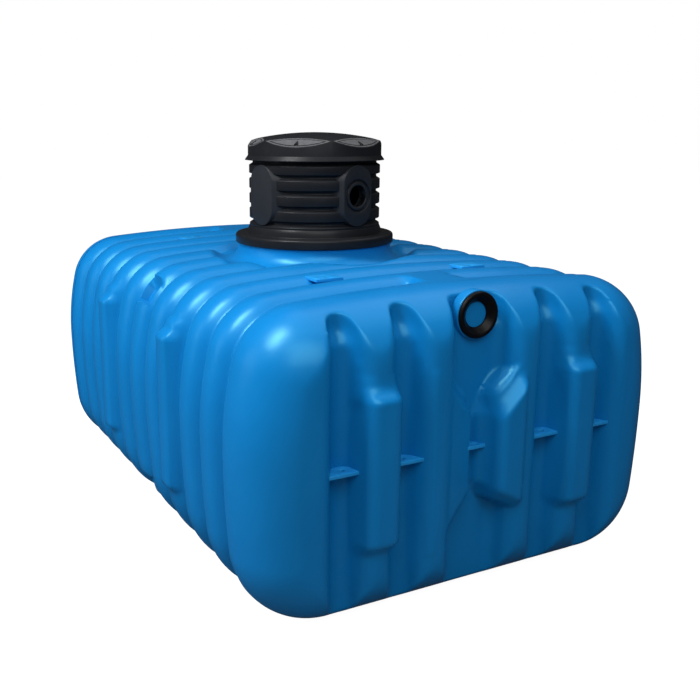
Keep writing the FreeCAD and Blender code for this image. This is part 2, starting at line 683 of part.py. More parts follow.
def build():
    """All nodes of the tank by name."""
    nodes = barrel_strips()
    columns = side_columns()
    nodes["right_side_columns"] = columns
    nodes["left_side_columns"] = mirrored(columns)
    trench = disc(NECK_TRENCH_RADIUS, 0, 2 * TANK_HEIGHT)
    filled_roof = roof_zone(True)
    nodes["roof"] = roof_zone().cut(trench)
    hollow = end_block(WALL)
    shell = end_shell(hollow)
    nodes["front_end"] = with_inlet(shell, hollow)
    nodes["rear_end"] = turned(shell)
    nodes["neck_collar"] = neck_collar().fuse(upstand(filled_roof)).removeSplitter()
    nodes["inlet_seal"] = inlet_seal()
    lugs = anchor_lugs()
    nodes["front_anchor_lugs"] = lugs
    nodes["rear_anchor_lugs"] = turned(lugs)
    nodes["roof_lifting_lugs"] = roof_lugs(filled_roof)
    nodes["roof_saddles"] = roof_saddles(filled_roof)
    nodes["riser_flange"] = riser_flange()
    nodes["riser_shaft"] = riser_shaft()
    nodes["lid_cover"] = lid_cover()
    return nodes


os.makedirs("parts", exist_ok=True)
for node_name, node_shape in build().items():
    litres = round(node_shape.Volume / 1e6, 3)
    print(node_name, len(node_shape.Solids), node_shape.isValid(), litres, flush=True)
    node_shape.exportStep(os.path.join("parts", node_name + ".step"))
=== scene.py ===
"""Dressing of a flat ribbed rainwater tank: moulded shell, lugs, inlet seal, riser and lid.

All sizes are in metres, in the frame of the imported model: +Z up, +Y along the tank away
from the inlet end, +X across it, with the riser's axis at x = y = 0.
"""

import logging
import math
from dataclasses import dataclass, field, replace
from enum import Enum

import bpy
import numpy as np
from mathutils import Matrix, Vector


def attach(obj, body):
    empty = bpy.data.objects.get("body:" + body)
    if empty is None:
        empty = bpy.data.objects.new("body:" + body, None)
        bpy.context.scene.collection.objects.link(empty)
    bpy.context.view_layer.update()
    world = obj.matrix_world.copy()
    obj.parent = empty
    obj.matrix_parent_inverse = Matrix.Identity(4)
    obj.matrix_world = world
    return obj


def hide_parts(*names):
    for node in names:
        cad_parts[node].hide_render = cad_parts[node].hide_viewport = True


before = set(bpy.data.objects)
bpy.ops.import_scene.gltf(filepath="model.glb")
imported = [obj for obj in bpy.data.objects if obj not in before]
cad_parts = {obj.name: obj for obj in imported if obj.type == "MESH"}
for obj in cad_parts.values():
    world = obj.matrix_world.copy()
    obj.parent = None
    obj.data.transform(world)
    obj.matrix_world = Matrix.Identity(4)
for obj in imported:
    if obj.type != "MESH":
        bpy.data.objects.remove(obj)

LOG = logging.getLogger("rainwater_tank")
PHOTO_SIDE = 700.0
MERGE = 1e-5
SHELL_SHARP = 55.0
WHITE = (1.0, 1.0, 1.0, 1.0)

Profile = list[tuple[float, float]]
Pairs = tuple[tuple[float, float], ...]
Triple = tuple[float, float, float]
Piece = bpy.types.Object
Tree = bpy.types.NodeTree
Node = bpy.types.Node
Socket = bpy.types.NodeSocket


class Body(Enum):
    """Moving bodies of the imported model."""

    TANK = "tank"
    LID = "lid"


class Slot(Enum):
    """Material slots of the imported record."""

    BLUE = "blue"
    RISER = "riser_black"
    LID = "lid_black"
    SEAL = "seal_rubber"


class End(Enum):
    """The two ends of the tank, by the direction that they face along Y."""

    FRONT = -1
    REAR = 1


def wire(tree: Tree, node: Node, inputs: dict[str | int, object]) -> Node:
    """Set a node's inputs to plain values, or link them where a socket is given.

    Args:
        tree: Node tree that holds the node.
        node: Node to wire.
        inputs: Values or sockets, by the input's name or number.

    Returns:
        The node.
    """
    for key, value in inputs.items():
        if isinstance(value, Socket):
            tree.links.new(value, node.inputs[key])
        else:
            node.inputs[key].default_value = value
    return node


def add_node(tree: Tree, kind: str, inputs: dict[str | int, object]) -> Node:
    """Add a node of a kind and wire its inputs."""
    return wire(tree, tree.nodes.new(kind), inputs)


@dataclass(frozen=True)
class MouldedFinish:
    """Procedural finish of a moulded plastic or rubber piece.

    The colour is mottled between a deep and a light tone, the gloss varies slowly,
    and a fine grain and a broad waviness give the surface its relief.
    """

    name: str
    deep: Triple
    light: Triple
    roughness: float
    mottle_scale: float
    grain_scale: float
    grain_height: float
    ripple_scale: float
    ripple_height: float
    roughness_swing: float = 0.05
    specular: float = 0.5
    specular_tint: Triple = (1.0, 1.0, 1.0)
    ior: float = 1.24
    tone_places: tuple[float, float] = (0.3, 0.72)
    gloss_share: float = 2.7

    def material(self) -> bpy.types.Material:
        """Make the material, or return it if it is there.

        Returns:
            The material with its node tree.
        """
        found = bpy.data.materials.get(self.name)
        if found:
            return found
        material = bpy.data.materials.new(self.name)
        material.use_nodes = True
        tree = material.node_tree
        tones = add_node(tree, "ShaderNodeValToRGB", {"Fac": self._noise(tree, self.mottle_scale, 5.0)})
        stops = zip(tones.color_ramp.elements, self.tone_places, (self.deep, self.light))
        for element, place, tone in stops:
            element.position = place
            element.color = (*tone, 1.0)
        gloss = add_node(tree, "ShaderNodeMapRange", {
            "Value": self._noise(tree, self.mottle_scale * self.gloss_share, 3.0),
            "To Min": self.roughness - self.roughness_swing,
            "To Max": self.roughness + self.roughness_swing})
        ripple = add_node(tree, "ShaderNodeBump", {
            "Strength": 1.0, "Distance": self.ripple_height,
            "Height": self._noise(tree, self.ripple_scale, 1.0)})
        grain = add_node(tree, "ShaderNodeBump", {
            "Strength": 1.0, "Distance": self.grain_height,
            "Height": self._noise(tree, self.grain_scale, 2.0), "Normal": ripple.outputs["Normal"]})
        wire(tree, tree.nodes["Principled BSDF"], {
            "Base Color": tones.outputs["Color"],
            "Roughness": gloss.outputs["Result"],
            "Normal": grain.outputs["Normal"],
            "Specular IOR Level": self.specular,
            "Specular Tint": (*self.specular_tint, 1.0),
            "IOR": self.ior})
        return material

    @staticmethod
    def _noise(tree: Tree, scale: float, detail: float) -> Socket:
        """Add a noise texture on the piece's own coordinates.

        Args:
            tree: Node tree that gets the nodes.
            scale: Waves for each metre.
            detail: Octaves of finer noise.

        Returns:
            The noise value's socket.
        """
        place = tree.nodes.new("ShaderNodeTexCoord").outputs["Object"]
        noise = add_node(tree, "ShaderNodeTexNoise", {"Vector": place, "Scale": scale, "Detail": detail})
        return noise.outputs["Fac"]


BLUE_SHELL = MouldedFinish(
    name="blue_polyethylene", deep=(0.0020, 0.155, 0.43), light=(0.0030, 0.170, 0.465), ior=1.36,
    roughness=0.33, roughness_swing=0.03, specular=0.9, specular_tint=(0.3, 0.96, 1.0),
    mottle_scale=3.0, grain_scale=420.0, grain_height=0.00010, ripple_scale=14.0, ripple_height=0.0008)
# Lighter copy of the blue finish: its lighter tone is painted light, so that the webs' tops look lit.
BLUE_WEB_PAINTED_LIGHT = replace(
    BLUE_SHELL, name="blue_polyethylene_web_painted_light", deep=(0.010, 0.235, 0.60), light=(0.014, 0.260, 0.64),
    mottle_scale=6.0, ripple_height=0.0004)
RISER_BLACK = MouldedFinish(
    name="black_riser_polyethylene", deep=(0.0085, 0.0095, 0.0115), light=(0.011, 0.012, 0.014),
    ior=1.27, roughness=0.36, mottle_scale=9.0, grain_scale=700.0, grain_height=0.00012,
    ripple_scale=25.0, ripple_height=0.0003)
# Lighter copy of the riser's black: its lighter tone is painted light on the bosses' faces.
RISER_BOSS_PAINTED_LIGHT = replace(
    RISER_BLACK, name="black_boss_polyethylene_painted_light", deep=(0.0155, 0.0175, 0.0215),
    light=(0.019, 0.0215, 0.025), roughness=0.42)
LID_BLACK = replace(
    RISER_BLACK, name="black_lid_polyethylene", ior=1.25, roughness=0.40, mottle_scale=11.0,
    grain_scale=620.0, grain_height=0.00016)
# Grey of the grip panels on the lid's flats: painted sheen, the light that the tilted flats catch from
# above.
LID_GRIP_AND_PAINTED_SHEEN = MouldedFinish(
    name="grey_lid_grip_and_painted_sheen", deep=(0.068, 0.070, 0.075), light=(0.100, 0.102, 0.108), roughness=0.5,
    roughness_swing=0.06, mottle_scale=40.0, grain_scale=500.0, grain_height=0.0003,
    ripple_scale=60.0, ripple_height=0.0003)
SEAL_RUBBER = MouldedFinish(
    name="black_seal_rubber", deep=(0.003, 0.003, 0.004), light=(0.005, 0.005, 0.006), roughness=0.36,
    mottle_scale=30.0, grain_scale=900.0, grain_height=0.0001, ripple_scale=60.0, ripple_height=0.0002)


class Bench:
    """Modelling steps that every piece shares."""

    @staticmethod
    def fresh() -> None:
        """Leave edit mode and deselect everything."""
        if bpy.context.object and bpy.context.object.mode != "OBJECT":
            bpy.ops.object.mode_set(mode="OBJECT")
        bpy.ops.object.select_all(action="DESELECT")

    @staticmethod
    def pick(piece: Piece) -> None:
        """Make one piece the only selected and the active one."""
        Bench.fresh()
        piece.select_set(True)
        bpy.context.view_layer.objects.active = piece

    @staticmethod
    def grid(columns: int, rows: int, points: np.ndarray) -> Piece:
        """Add a grid and move its vertices to the given places.

        Args:
            columns: Faces along a row.
            rows: Rows of faces.
            points: Places of the vertices, row by row, as (rows + 1, columns + 1, 3).

        Returns:
            The shaped grid.
        """
        Bench.fresh()
        bpy.ops.mesh.primitive_grid_add(x_subdivisions=columns, y_subdivisions=rows)
        return Bench.shape(bpy.context.object, points)

    @staticmethod
    def shape(piece: Piece, points: np.ndarray) -> Piece:
        """Move all vertices of a piece to the given places."""
        piece.data.vertices.foreach_set("co", points.astype(np.float32).ravel())
        piece.data.update()
        return piece

    @staticmethod
    def extrude(way: Triple) -> None:
        """Extrude what is selected and move it."""
        bpy.ops.mesh.extrude_region_move(TRANSFORM_OT_translate={"value": way})

    @staticmethod
    def join(pieces: list[Piece], merge: float = 0.0) -> Piece:
        """Join pieces into the first one.

        Args:
            pieces: Pieces to join.
            merge: Distance within which vertices are merged, or 0 to leave them.

        Returns:
            The joined piece.
        """
        Bench.fresh()
        for piece in pieces:
            piece.select_set(True)
        bpy.context.view_layer.objects.active = pieces[0]
        if len(pieces) > 1:
            bpy.ops.object.join()
        if merge:
            Bench.edit(pieces[0])
            bpy.ops.mesh.remove_doubles(threshold=merge)
            bpy.ops.object.mode_set(mode="OBJECT")
        return pieces[0]

    @staticmethod
    def edit(piece: Piece) -> None:
        """Open a piece in edit mode with all of it selected."""
        Bench.pick(piece)
        bpy.ops.object.mode_set(mode="EDIT")
        bpy.ops.mesh.select_all(action="SELECT")

    @staticmethod
    def outward(piece: Piece) -> Piece:
        """Turn all faces outwards and return the piece."""
        Bench.edit(piece)
        bpy.ops.mesh.normals_make_consistent(inside=False)
        bpy.ops.object.mode_set(mode="OBJECT")
        return piece

    @staticmethod
    def modify(piece: Piece, kind: str, **settings: object) -> Piece:
        """Add a modifier, set it and apply it.

        Args:
            piece: Piece to change.
            kind: Type of the modifier.
            settings: Values of its fields.

        Returns:
            The changed piece.
        """
        Bench.pick(piece)
        modifier = piece.modifiers.new(kind.lower(), kind)
        for key, value in settings.items():
            setattr(modifier, key, value)
        bpy.ops.object.modifier_apply(modifier=modifier.name)
        return piece

    @staticmethod
    def cut(piece: Piece, tool: Piece) -> Piece:
        """Cut a tool's shape out of a piece and remove the tool.

        Args:
            piece: Closed piece to cut.
            tool: Closed piece that is taken away.

        Returns:
            The cut piece.
        """
        Bench.modify(piece, "BOOLEAN", operation="DIFFERENCE", object=tool, solver="EXACT")
        bpy.data.objects.remove(tool)
        return piece

    @staticmethod
    def soften(piece: Piece, width: float, segments: int = 3, angle: float = 30.0) -> Piece:
        """Round the edges of a piece whose faces meet at more than an angle in degrees."""
        return Bench.modify(piece, "BEVEL", width=width, segments=segments, limit_method="ANGLE",
                            angle_limit=math.radians(angle), harden_normals=False)

    @staticmethod
    def turned(profile: Profile, segments: int, closed: bool = True) -> Piece:
        """Turn a profile about the Z axis, ring by ring.

        Args:
            profile: Corners as (radius, height).
            segments: Faces round the axis.
            closed: Whether the last ring joins the first; otherwise a flat face closes each end.

        Returns:
            The turned piece.
        """
        Bench.fresh()
        radius, height = profile[0]
        bpy.ops.mesh.primitive_circle_add(vertices=segments, radius=radius, location=(0, 0, height))
        piece = bpy.context.object
        bpy.ops.object.transform_apply(location=True)
        Bench.edit(piece)
        if not closed:
            bpy.ops.mesh.edge_face_add()
        for next_radius, next_height in profile[1:] + (profile[:1] if closed else []):
            Bench.extrude((0, 0, next_height - height))
            share = next_radius / radius
            bpy.ops.transform.resize(value=(share, share, 1.0), center_override=(0, 0, next_height))
            radius, height = next_radius, next_height
        bpy.ops.mesh.select_all(action="SELECT")
        bpy.ops.mesh.remove_doubles(threshold=MERGE / 10)
        bpy.ops.mesh.normals_make_consistent(inside=False)
        bpy.ops.object.mode_set(mode="OBJECT")
        return piece

    @staticmethod
    def block(low: Vector, high: Vector) -> Piece:
        """Add a cuboid between two corners, as stock for a piece or a tool."""
        Bench.fresh()
        bpy.ops.mesh.primitive_cube_add(size=1.0, location=(low + high) / 2)
        piece = bpy.context.object
        piece.scale = high - low
        bpy.ops.object.transform_apply(location=True, scale=True)
        return piece

    @staticmethod
    def drill(radius: float, start: Vector, end: Vector, segments: int) -> Piece:
        """Add a round tool between two points, for cutting a hole."""
        Bench.fresh()
        along = end - start
        bpy.ops.mesh.primitive_cylinder_add(vertices=segments, radius=radius, depth=along.length)
        turn = along.to_track_quat("Z", "Y").to_matrix().to_4x4()
        return Bench.move(bpy.context.object, Matrix.Translation((start + end) / 2) @ turn)

    @staticmethod
    def move(piece: Piece, place: Matrix) -> Piece:
        """Move a piece's mesh, with its object left at the origin."""
        piece.data.transform(place @ piece.matrix_basis)
        piece.matrix_basis = Matrix.Identity(4)
        piece.data.update()
        return piece

    @staticmethod
    def copied(piece: Piece, place: Matrix) -> Piece:
        """Copy a piece with its own mesh to another place."""
        copy = piece.copy()
        copy.data = piece.data.copy()
        bpy.context.scene.collection.objects.link(copy)
        return Bench.move(copy, place)

    @staticmethod
    def dress(piece: Piece, name: str, finish: MouldedFinish, slot: Slot, body: Body,
              replaces: tuple[str, ...] = (), sharp: float = 40.0) -> Piece:
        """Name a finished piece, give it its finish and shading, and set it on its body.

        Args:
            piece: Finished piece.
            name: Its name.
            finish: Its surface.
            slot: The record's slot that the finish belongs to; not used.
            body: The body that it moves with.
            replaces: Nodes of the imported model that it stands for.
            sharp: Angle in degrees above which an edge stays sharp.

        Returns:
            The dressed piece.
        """
        piece.name = name
        piece.data.name = name
        piece.data.materials.clear()
        piece.data.materials.append(finish.material())
        Bench.pick(piece)
        bpy.ops.object.shade_smooth_by_angle(angle=math.radians(sharp))
        Bench.fresh()
        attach(piece, body.value)
        if replaces:
            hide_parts(*replaces)
        LOG.info("%s: %d faces", name, len(piece.data.polygons))
        return piece


def soft_min(first: np.ndarray, second: np.ndarray, softness: float) -> np.ndarray:
    """Smaller of two values, rounded where they differ by less than the softness."""
    near = np.maximum(softness - np.abs(first - second), 0.0) / softness
    return np.minimum(first, second) - near * near * softness / 4


def soft_max(first: np.ndarray, second: np.ndarray, softness: float) -> np.ndarray:
    """Larger of two values with a rounded change, as soft_min."""
    return -soft_min(-first, -second, softness)


def fade(value: np.ndarray, start: float, end: float) -> np.ndarray:
    """Smooth step of a value from 1 at start to 0 at end."""
    share = np.clip((value - start) / (end - start), 0.0, 1.0)
    return 1.0 - share ** 3 * (share * (6 * share - 15) + 10)


def arc_radius(half_chord: float, rise: float) -> float:
    """Radius of an arc that falls by rise over half_chord from its crown."""
    return (half_chord ** 2 + rise ** 2) / (2 * rise)


@dataclass(frozen=True)
class RibWave:
    """Rounded rib wave of two tangent arcs, a crest and a groove."""

    pitch: float
    depth: float
    crest_share: float

    @property
    def turn(self) -> float:
        """Angle of the flank where crest and groove meet."""
        return 2 * math.atan(self.depth / (self.pitch / 2))

    @property
    def crest(self) -> float:
        """Radius of the crest."""
        return self.pitch / 2 / math.sin(self.turn) * self.crest_share

    @property
    def groove(self) -> float:
        """Radius of the groove."""
        return self.pitch / 2 / math.sin(self.turn) * (1 - self.crest_share)

    def depth_at(self, along: np.ndarray) -> np.ndarray:
        """Depth below the crests.

        Args:
            along: Places measured from a crest.

        Returns:
            The depths.
        """
        half = self.pitch / 2
        away = np.abs((along + half) % self.pitch - half)
        on_crest = self.crest - np.sqrt(np.maximum(self.crest ** 2 - away ** 2, 0.0))
        swing = np.sqrt(np.maximum(self.groove ** 2 - (half - away) ** 2, 0.0))
        in_groove = self.depth - self.groove + swing
        return np.where(away < self.crest * math.sin(self.turn), on_crest, in_groove)

    def half_period(self, crest_steps: int, groove_steps: int) -> np.ndarray:
        """Places from a crest to the next groove, evenly spaced on each arc.

        Args:
            crest_steps: Steps on the half crest.
            groove_steps: Steps on the half groove.

        Returns:
            The places, from 0 to half the pitch.
        """
        crest = self.crest * np.sin(np.linspace(0.0, self.turn, crest_steps + 1))
        groove = self.pitch / 2 - self.groove * np.sin(np.linspace(self.turn, 0.0, groove_steps + 1))
        return np.concatenate([crest, groove[1:]])


@dataclass
class TankSection:
    """Cross-section of the tank: crowned roof, leaning sides, round corners, flat floor."""

    half_width: float = 1.003
    height: float = 1.29
    widest: float = 0.702
    roof_rise: float = 0.056
    upper_lean: float = 0.126
    lower_lean: float = 0.057
    shoulder: float = 0.28
    haunch: float = 0.332

    def __post_init__(self) -> None:
        """Work out the arcs' radii and centres."""
        self.upper = arc_radius(self.height - self.widest, self.upper_lean)
        self.lower = arc_radius(self.widest, self.lower_lean)
        self.roof = arc_radius(self.half_width, self.roof_rise)
        self.upper_x = self.half_width - self.upper
        self.lower_x = self.half_width - self.lower
        self.roof_z = self.height - self.roof
        self.shoulder_x, self.shoulder_z = self._shoulder_centre()
        drop = self.widest - self.haunch
        self.haunch_x = self.lower_x + math.sqrt((self.lower - self.haunch) ** 2 - drop ** 2)
        side_turn = math.atan2(self.shoulder_z - self.widest, self.shoulder_x - self.upper_x)
        roof_turn = math.atan2(self.shoulder_z - self.roof_z, self.shoulder_x)
        haunch_turn = math.atan2(-drop, self.haunch_x - self.lower_x)
        self.roof_end = self.roof * math.cos(roof_turn)
        self.shoulder_end = self.widest + self.upper * math.sin(side_turn)
        self.haunch_end = self.widest + self.lower * math.sin(haunch_turn)
        top_turn = (side_turn + roof_turn) / 2
        low_turn = (haunch_turn - math.pi / 2) / 2
        self.top_corner = (self.shoulder_x + self.shoulder * math.cos(top_turn),
                           self.shoulder_z + self.shoulder * math.sin(top_turn))
        self.low_corner = (self.haunch_x + self.haunch * math.cos(low_turn),
                           self.haunch + self.haunch * math.sin(low_turn))

    def _shoulder_centre(self) -> tuple[float, float]:
        """Centre of the arc that is tangent to the roof and the upper side."""
        first, second = self.upper - self.shoulder, self.roof - self.shoulder
        across, up = -self.upper_x, self.roof_z - self.widest
        gap = math.hypot(across, up)
        along = (first ** 2 - second ** 2 + gap ** 2) / (2 * gap)
        aside = math.sqrt(first ** 2 - along ** 2)
        foot_x, foot_z = self.upper_x + across * along / gap, self.widest + up * along / gap
        sides = [(foot_x - up * h / gap, foot_z + across * h / gap) for h in (aside, -aside)]
        return max(sides, key=sum)

    def top(self, x: np.ndarray) -> tuple[np.ndarray, np.ndarray]:
        """Roof and upper shoulders.

        Args:
            x: Places across the tank.

        Returns:
            Points and outward normals, each as (n, 2).
        """
        away = np.abs(x)
        on_roof = away <= self.roof_end
        centre_x = np.where(on_roof, 0.0, self.shoulder_x)
        centre_z = np.where(on_roof, self.roof_z, self.shoulder_z)
        radius = np.where(on_roof, self.roof, self.shoulder)
        z = centre_z + np.sqrt(radius ** 2 - (away - centre_x) ** 2)
        normals = np.stack([np.sign(x) * (away - centre_x) / radius, (z - centre_z) / radius], 1)
        return np.stack([x, z], 1), normals

    def bottom(self, x: np.ndarray) -> tuple[np.ndarray, np.ndarray]:
        """Floor and lower haunches, as top()."""
        over = np.maximum(np.abs(x) - self.haunch_x, 0.0)
        rise = np.sqrt(self.haunch ** 2 - over ** 2)
        normals = np.stack([np.sign(x) * over / self.haunch, -rise / self.haunch], 1)
        return np.stack([x, self.haunch - rise], 1), normals

    def side(self, z: np.ndarray) -> tuple[np.ndarray, np.ndarray]:
        """Right side from the lower shoulder to the upper haunch.

        Args:
            z: Heights.

        Returns:
            Points and outward normals, each as (n, 2).
        """
        zones = [z >= self.shoulder_end, z >= self.widest, z >= self.haunch_end]
        centre_x = np.select(zones, [self.shoulder_x, self.upper_x, self.lower_x], self.haunch_x)
        centre_z = np.select(zones, [self.shoulder_z, self.widest, self.widest], self.haunch)
        radius = np.select(zones, [self.shoulder, self.upper, self.lower], self.haunch)
        x = centre_x + np.sqrt(radius ** 2 - (z - centre_z) ** 2)
        return np.stack([x, z], 1), np.stack([(x - centre_x) / radius, (z - centre_z) / radius], 1)

    def loop(self, across: np.ndarray, levels: int) -> tuple[np.ndarray, np.ndarray]:
        """Points round the section, clockwise from the upper left corner.

        Args:
            across: Shares of the half width, from -1 to 1, for the roof and the floor.
            levels: Steps down each side.

        Returns:
            Points and outward normals, each as (n, 2).
        """
        heights = np.linspace(self.top_corner[1], self.low_corner[1], levels + 1)
        top, top_normals = self.top(across * self.top_corner[0])
        low, low_normals = self.bottom(across[::-1] * self.low_corner[0])
        right, right_normals = self.side(heights)
        flip = np.array([-1.0, 1.0])
        left, left_normals = (right * flip)[::-1], (right_normals * flip)[::-1]
        points = [part[:-1] for part in (top, right, low, left)]
        normals = [part[:-1] for part in (top_normals, right_normals, low_normals, left_normals)]
        return np.concatenate(points), np.concatenate(normals)


@dataclass
class Post:
    """Upright post on a wall: place, width, reach and bevelled foot and head."""

    middle: float
    half_width: float
    front: float
    crest: float
    foot: float
    head: float
    foot_bevel: float
    head_bevel: float
    rounding: float
    lean: float = 0.0
    head_slant: float = 0.0
    foot_slant: float = 0.0
    end_fall: float = 4.0
    side_fall: float = 12.0

    def reach(self, across: np.ndarray, level: np.ndarray) -> np.ndarray:
        """How far the post's skin stands out.

        Args:
            across: Places along the wall.
            level: Heights.

        Returns:
            The reach at each place, far behind the wall beside the post.
        """
        proud = self.front - self.crest
        outward = np.clip((np.abs(across) - abs(self.middle)) / self.half_width, -1.0, 1.0)
        above = level - self.foot - self.foot_slant * (1.0 - outward) / 2
        below = self.head - self.head_slant * (1.0 - outward) / 2 - level
        foot = self.crest + proud * above / self.foot_bevel + np.minimum(above, 0.0) * self.end_fall
        hollow = (np.maximum(below, 0.0) / self.head_bevel) ** 2
        head = self.crest + proud * hollow + np.minimum(below, 0.0) * self.end_fall
        face = soft_min(soft_min(foot, head, proud / 2), np.full_like(level, self.front), proud / 5)
        face += self.lean * outward
        over = np.abs(across - self.middle) - (self.half_width - self.rounding)
        arc = np.sqrt(np.maximum(self.rounding ** 2 - over ** 2, 0.0))
        drop = np.where(over > 0, self.rounding - arc, 0.0)
        beside = np.maximum(over - self.rounding, 0.0) * self.side_fall
        return face - drop - beside


@dataclass
class TankShell:
    """One-piece moulded shell: ribbed barrel and two rounded ends with upright ribs."""

    section: TankSection = field(default_factory=TankSection)
    rings: RibWave = RibWave(pitch=0.233, depth=0.052, crest_share=0.8)
    ends: RibWave = RibWave(pitch=0.27, depth=0.105, crest_share=0.58)
    ring_crests: int = 11
    half_length: float = 1.434
    face_spare: float = 0.005
    end_rounding: float = 0.258
    end_middle_flat: float = 0.16
    end_side_crests: int = 3
    end_top: float = 1.20
    end_top_fade: float = 0.10
    end_top_share: float = 0.30
    end_softness: float = 0.014
    end_steps: tuple[int, int] = (7, 6)
    end_flat_steps: int = 8
    end_outer_steps: int = 11
    wall: float = 0.010
    barrel_columns: int = 110
    barrel_levels: int = 70
    barrel_steps: tuple[int, int] = (5, 4)
    lining_steps: tuple[int, int] = (2, 1)
    end_levels: int = 96
    rounding_steps: int = 24
    rounding_turn: float = math.radians(62.0)
    platform_level: float = 1.238
    platform_inner: float = 0.466
    platform_outer: float = 0.545
    neck_hole: float = 0.386
    neck_segments: int = 128
    saddle_half_width: float = 0.110
    saddle_edge: float = 0.016
    pocket_flat: float = 0.062
    pocket_edge: float = 0.092
    pocket_depth: float = 0.066
    pocket_levels: Pairs = ((1.092, 1.196), (0.120, 0.208))
    pocket_softness: float = 0.010
    shelf_edge: float = 0.008
    ceiling_edge: tuple[float, float] = (-0.014, 0.016)
    end_post_rib: int = 2
    end_post_sunk: float = 0.012
    end_post_proud: float = 0.042
    end_post_softness: float = 0.016
    side_post_rib: int = 2
    side_post_proud: float = 0.009
    side_post_softness: float = 0.014

    def __post_init__(self) -> None:
        """Work out the places along and across the shell."""
        self.barrel_half = (self.ring_crests - 1) / 2 * self.rings.pitch
        self.rounding_start = self.half_length + self.face_spare - self.end_rounding
        self.seam = (self.barrel_half + self.rounding_start) / 2
        self.across = self._end_stations()
        self.end_outline = self.section.loop(self.across, self.end_levels)

    def _end_stations(self) -> np.ndarray:
        """Shares of the half width, close together on the flanks of the end ribs."""
        half = self.ends.half_period(*self.end_steps)
        period = np.concatenate([half, (self.ends.pitch - half[::-1])[1:]])
        flat = self.end_middle_flat / 2
        first = flat + (self.ends.pitch / 2 - half[::-1])
        others = [first[-1] + period + crest * self.ends.pitch
                  for crest in range(self.end_side_crests - 1)]
        inner = np.linspace(0.0, flat, self.end_flat_steps + 1)
        outer_start = flat + (self.end_side_crests - 0.5) * self.ends.pitch
        outer = np.linspace(outer_start, self.section.top_corner[0], self.end_outer_steps + 1)
        right = np.unique(np.round(np.concatenate([inner, first, *others, outer]), 6))
        return np.concatenate([-right[::-1][:-1], right]) / right[-1]

    def end_posts(self) -> list[Post]:
        """Columns on the end ribs, and the unlike column and panel beside the middle groove."""
        crest = self.half_length - self.end_post_sunk
        outer = self.end_middle_flat / 2 + self.ends.pitch * (self.end_post_rib - 0.5)
        column = Post(middle=outer, half_width=0.078, front=self.half_length + self.end_post_proud,
                      crest=crest, foot=0.310, head=1.010, foot_bevel=0.050, head_bevel=0.080,
                      rounding=0.050)
        inner = replace(column, middle=0.118, half_width=0.074, foot=0.350, head=1.005, head_bevel=0.085,
                        rounding=0.046, head_slant=0.150, foot_slant=0.080)
        flank = Post(middle=0.062, half_width=0.050, front=crest - 0.028, crest=crest - 0.070,
                     foot=0.385, head=0.915, foot_bevel=0.040, head_bevel=0.060, rounding=0.008,
                     lean=0.030, head_slant=0.090, foot_slant=0.070)
        panel = Post(middle=-0.145, half_width=0.110, front=crest - 0.013, crest=crest - 0.055,
                     foot=0.200, head=1.060, foot_bevel=0.040, head_bevel=0.050, rounding=0.008,
                     lean=0.025, head_slant=0.220, foot_slant=0.220)
        return [replace(column, middle=-outer), column, inner, flank, panel]

    def end_depth(self, x: np.ndarray) -> np.ndarray:
        """Depth of the end ribs behind their crests at places across the end."""
        away = np.abs(x)
        moved = np.maximum(away - self.end_middle_flat / 2, 0.0) + self.ends.pitch / 2
        last = self.end_middle_flat / 2 + (self.end_side_crests - 0.5) * self.ends.pitch
        return np.where(away > last, 0.0, self.ends.depth_at(moved))

    def end_reach(self, x: np.ndarray, z: np.ndarray, rounded: np.ndarray, wall: float) -> np.ndarray:
        """How far the end's skin lies from the tank's middle.

        Args:
            x: Places across the end.
            z: Heights.
            rounded: Reach of the plain rounded end at those places.
            wall: Distance of the skin inside the outer one.

        Returns:
            The reach along Y.
        """
        upper = 1.0 - fade(z, self.end_top - self.end_top_fade, self.end_top)
        deeper = 1.0 + self.end_top_share * upper
        ribbed = self.half_length - self.end_depth(x) * deeper - wall
        reach = soft_min(rounded, ribbed, self.end_softness)
        if wall == 0.0:
            for post in self.end_posts():
                reach = soft_max(reach, post.reach(x, z), self.end_post_softness)
        return reach

    def end_rings(self, end: End, wall: float) -> np.ndarray:
        """Rings of one skin of a rounded end, from the seam inwards.

        Args:
            end: Which end.
            wall: Distance inside the outer skin.

        Returns:
            Points as (rings, points round the section, 3).
        """
        outline, normals = self.end_outline
        radius = self.end_rounding - wall
        start = outline - wall * normals
        rows = [np.column_stack([start[:, 0], np.full(len(start), end.value * self.seam), start[:, 1]])]
        for turn in np.linspace(0.0, self.rounding_turn, self.rounding_steps + 1):
            flat = start - radius * (1 - math.cos(turn)) * normals
            rounded = np.full(len(flat), self.rounding_start + radius * math.sin(turn))
            reach = self.end_reach(flat[:, 0], flat[:, 1], rounded, wall)
            rows.append(np.column_stack([flat[:, 0], end.value * reach, flat[:, 1]]))
        return np.stack(rows)

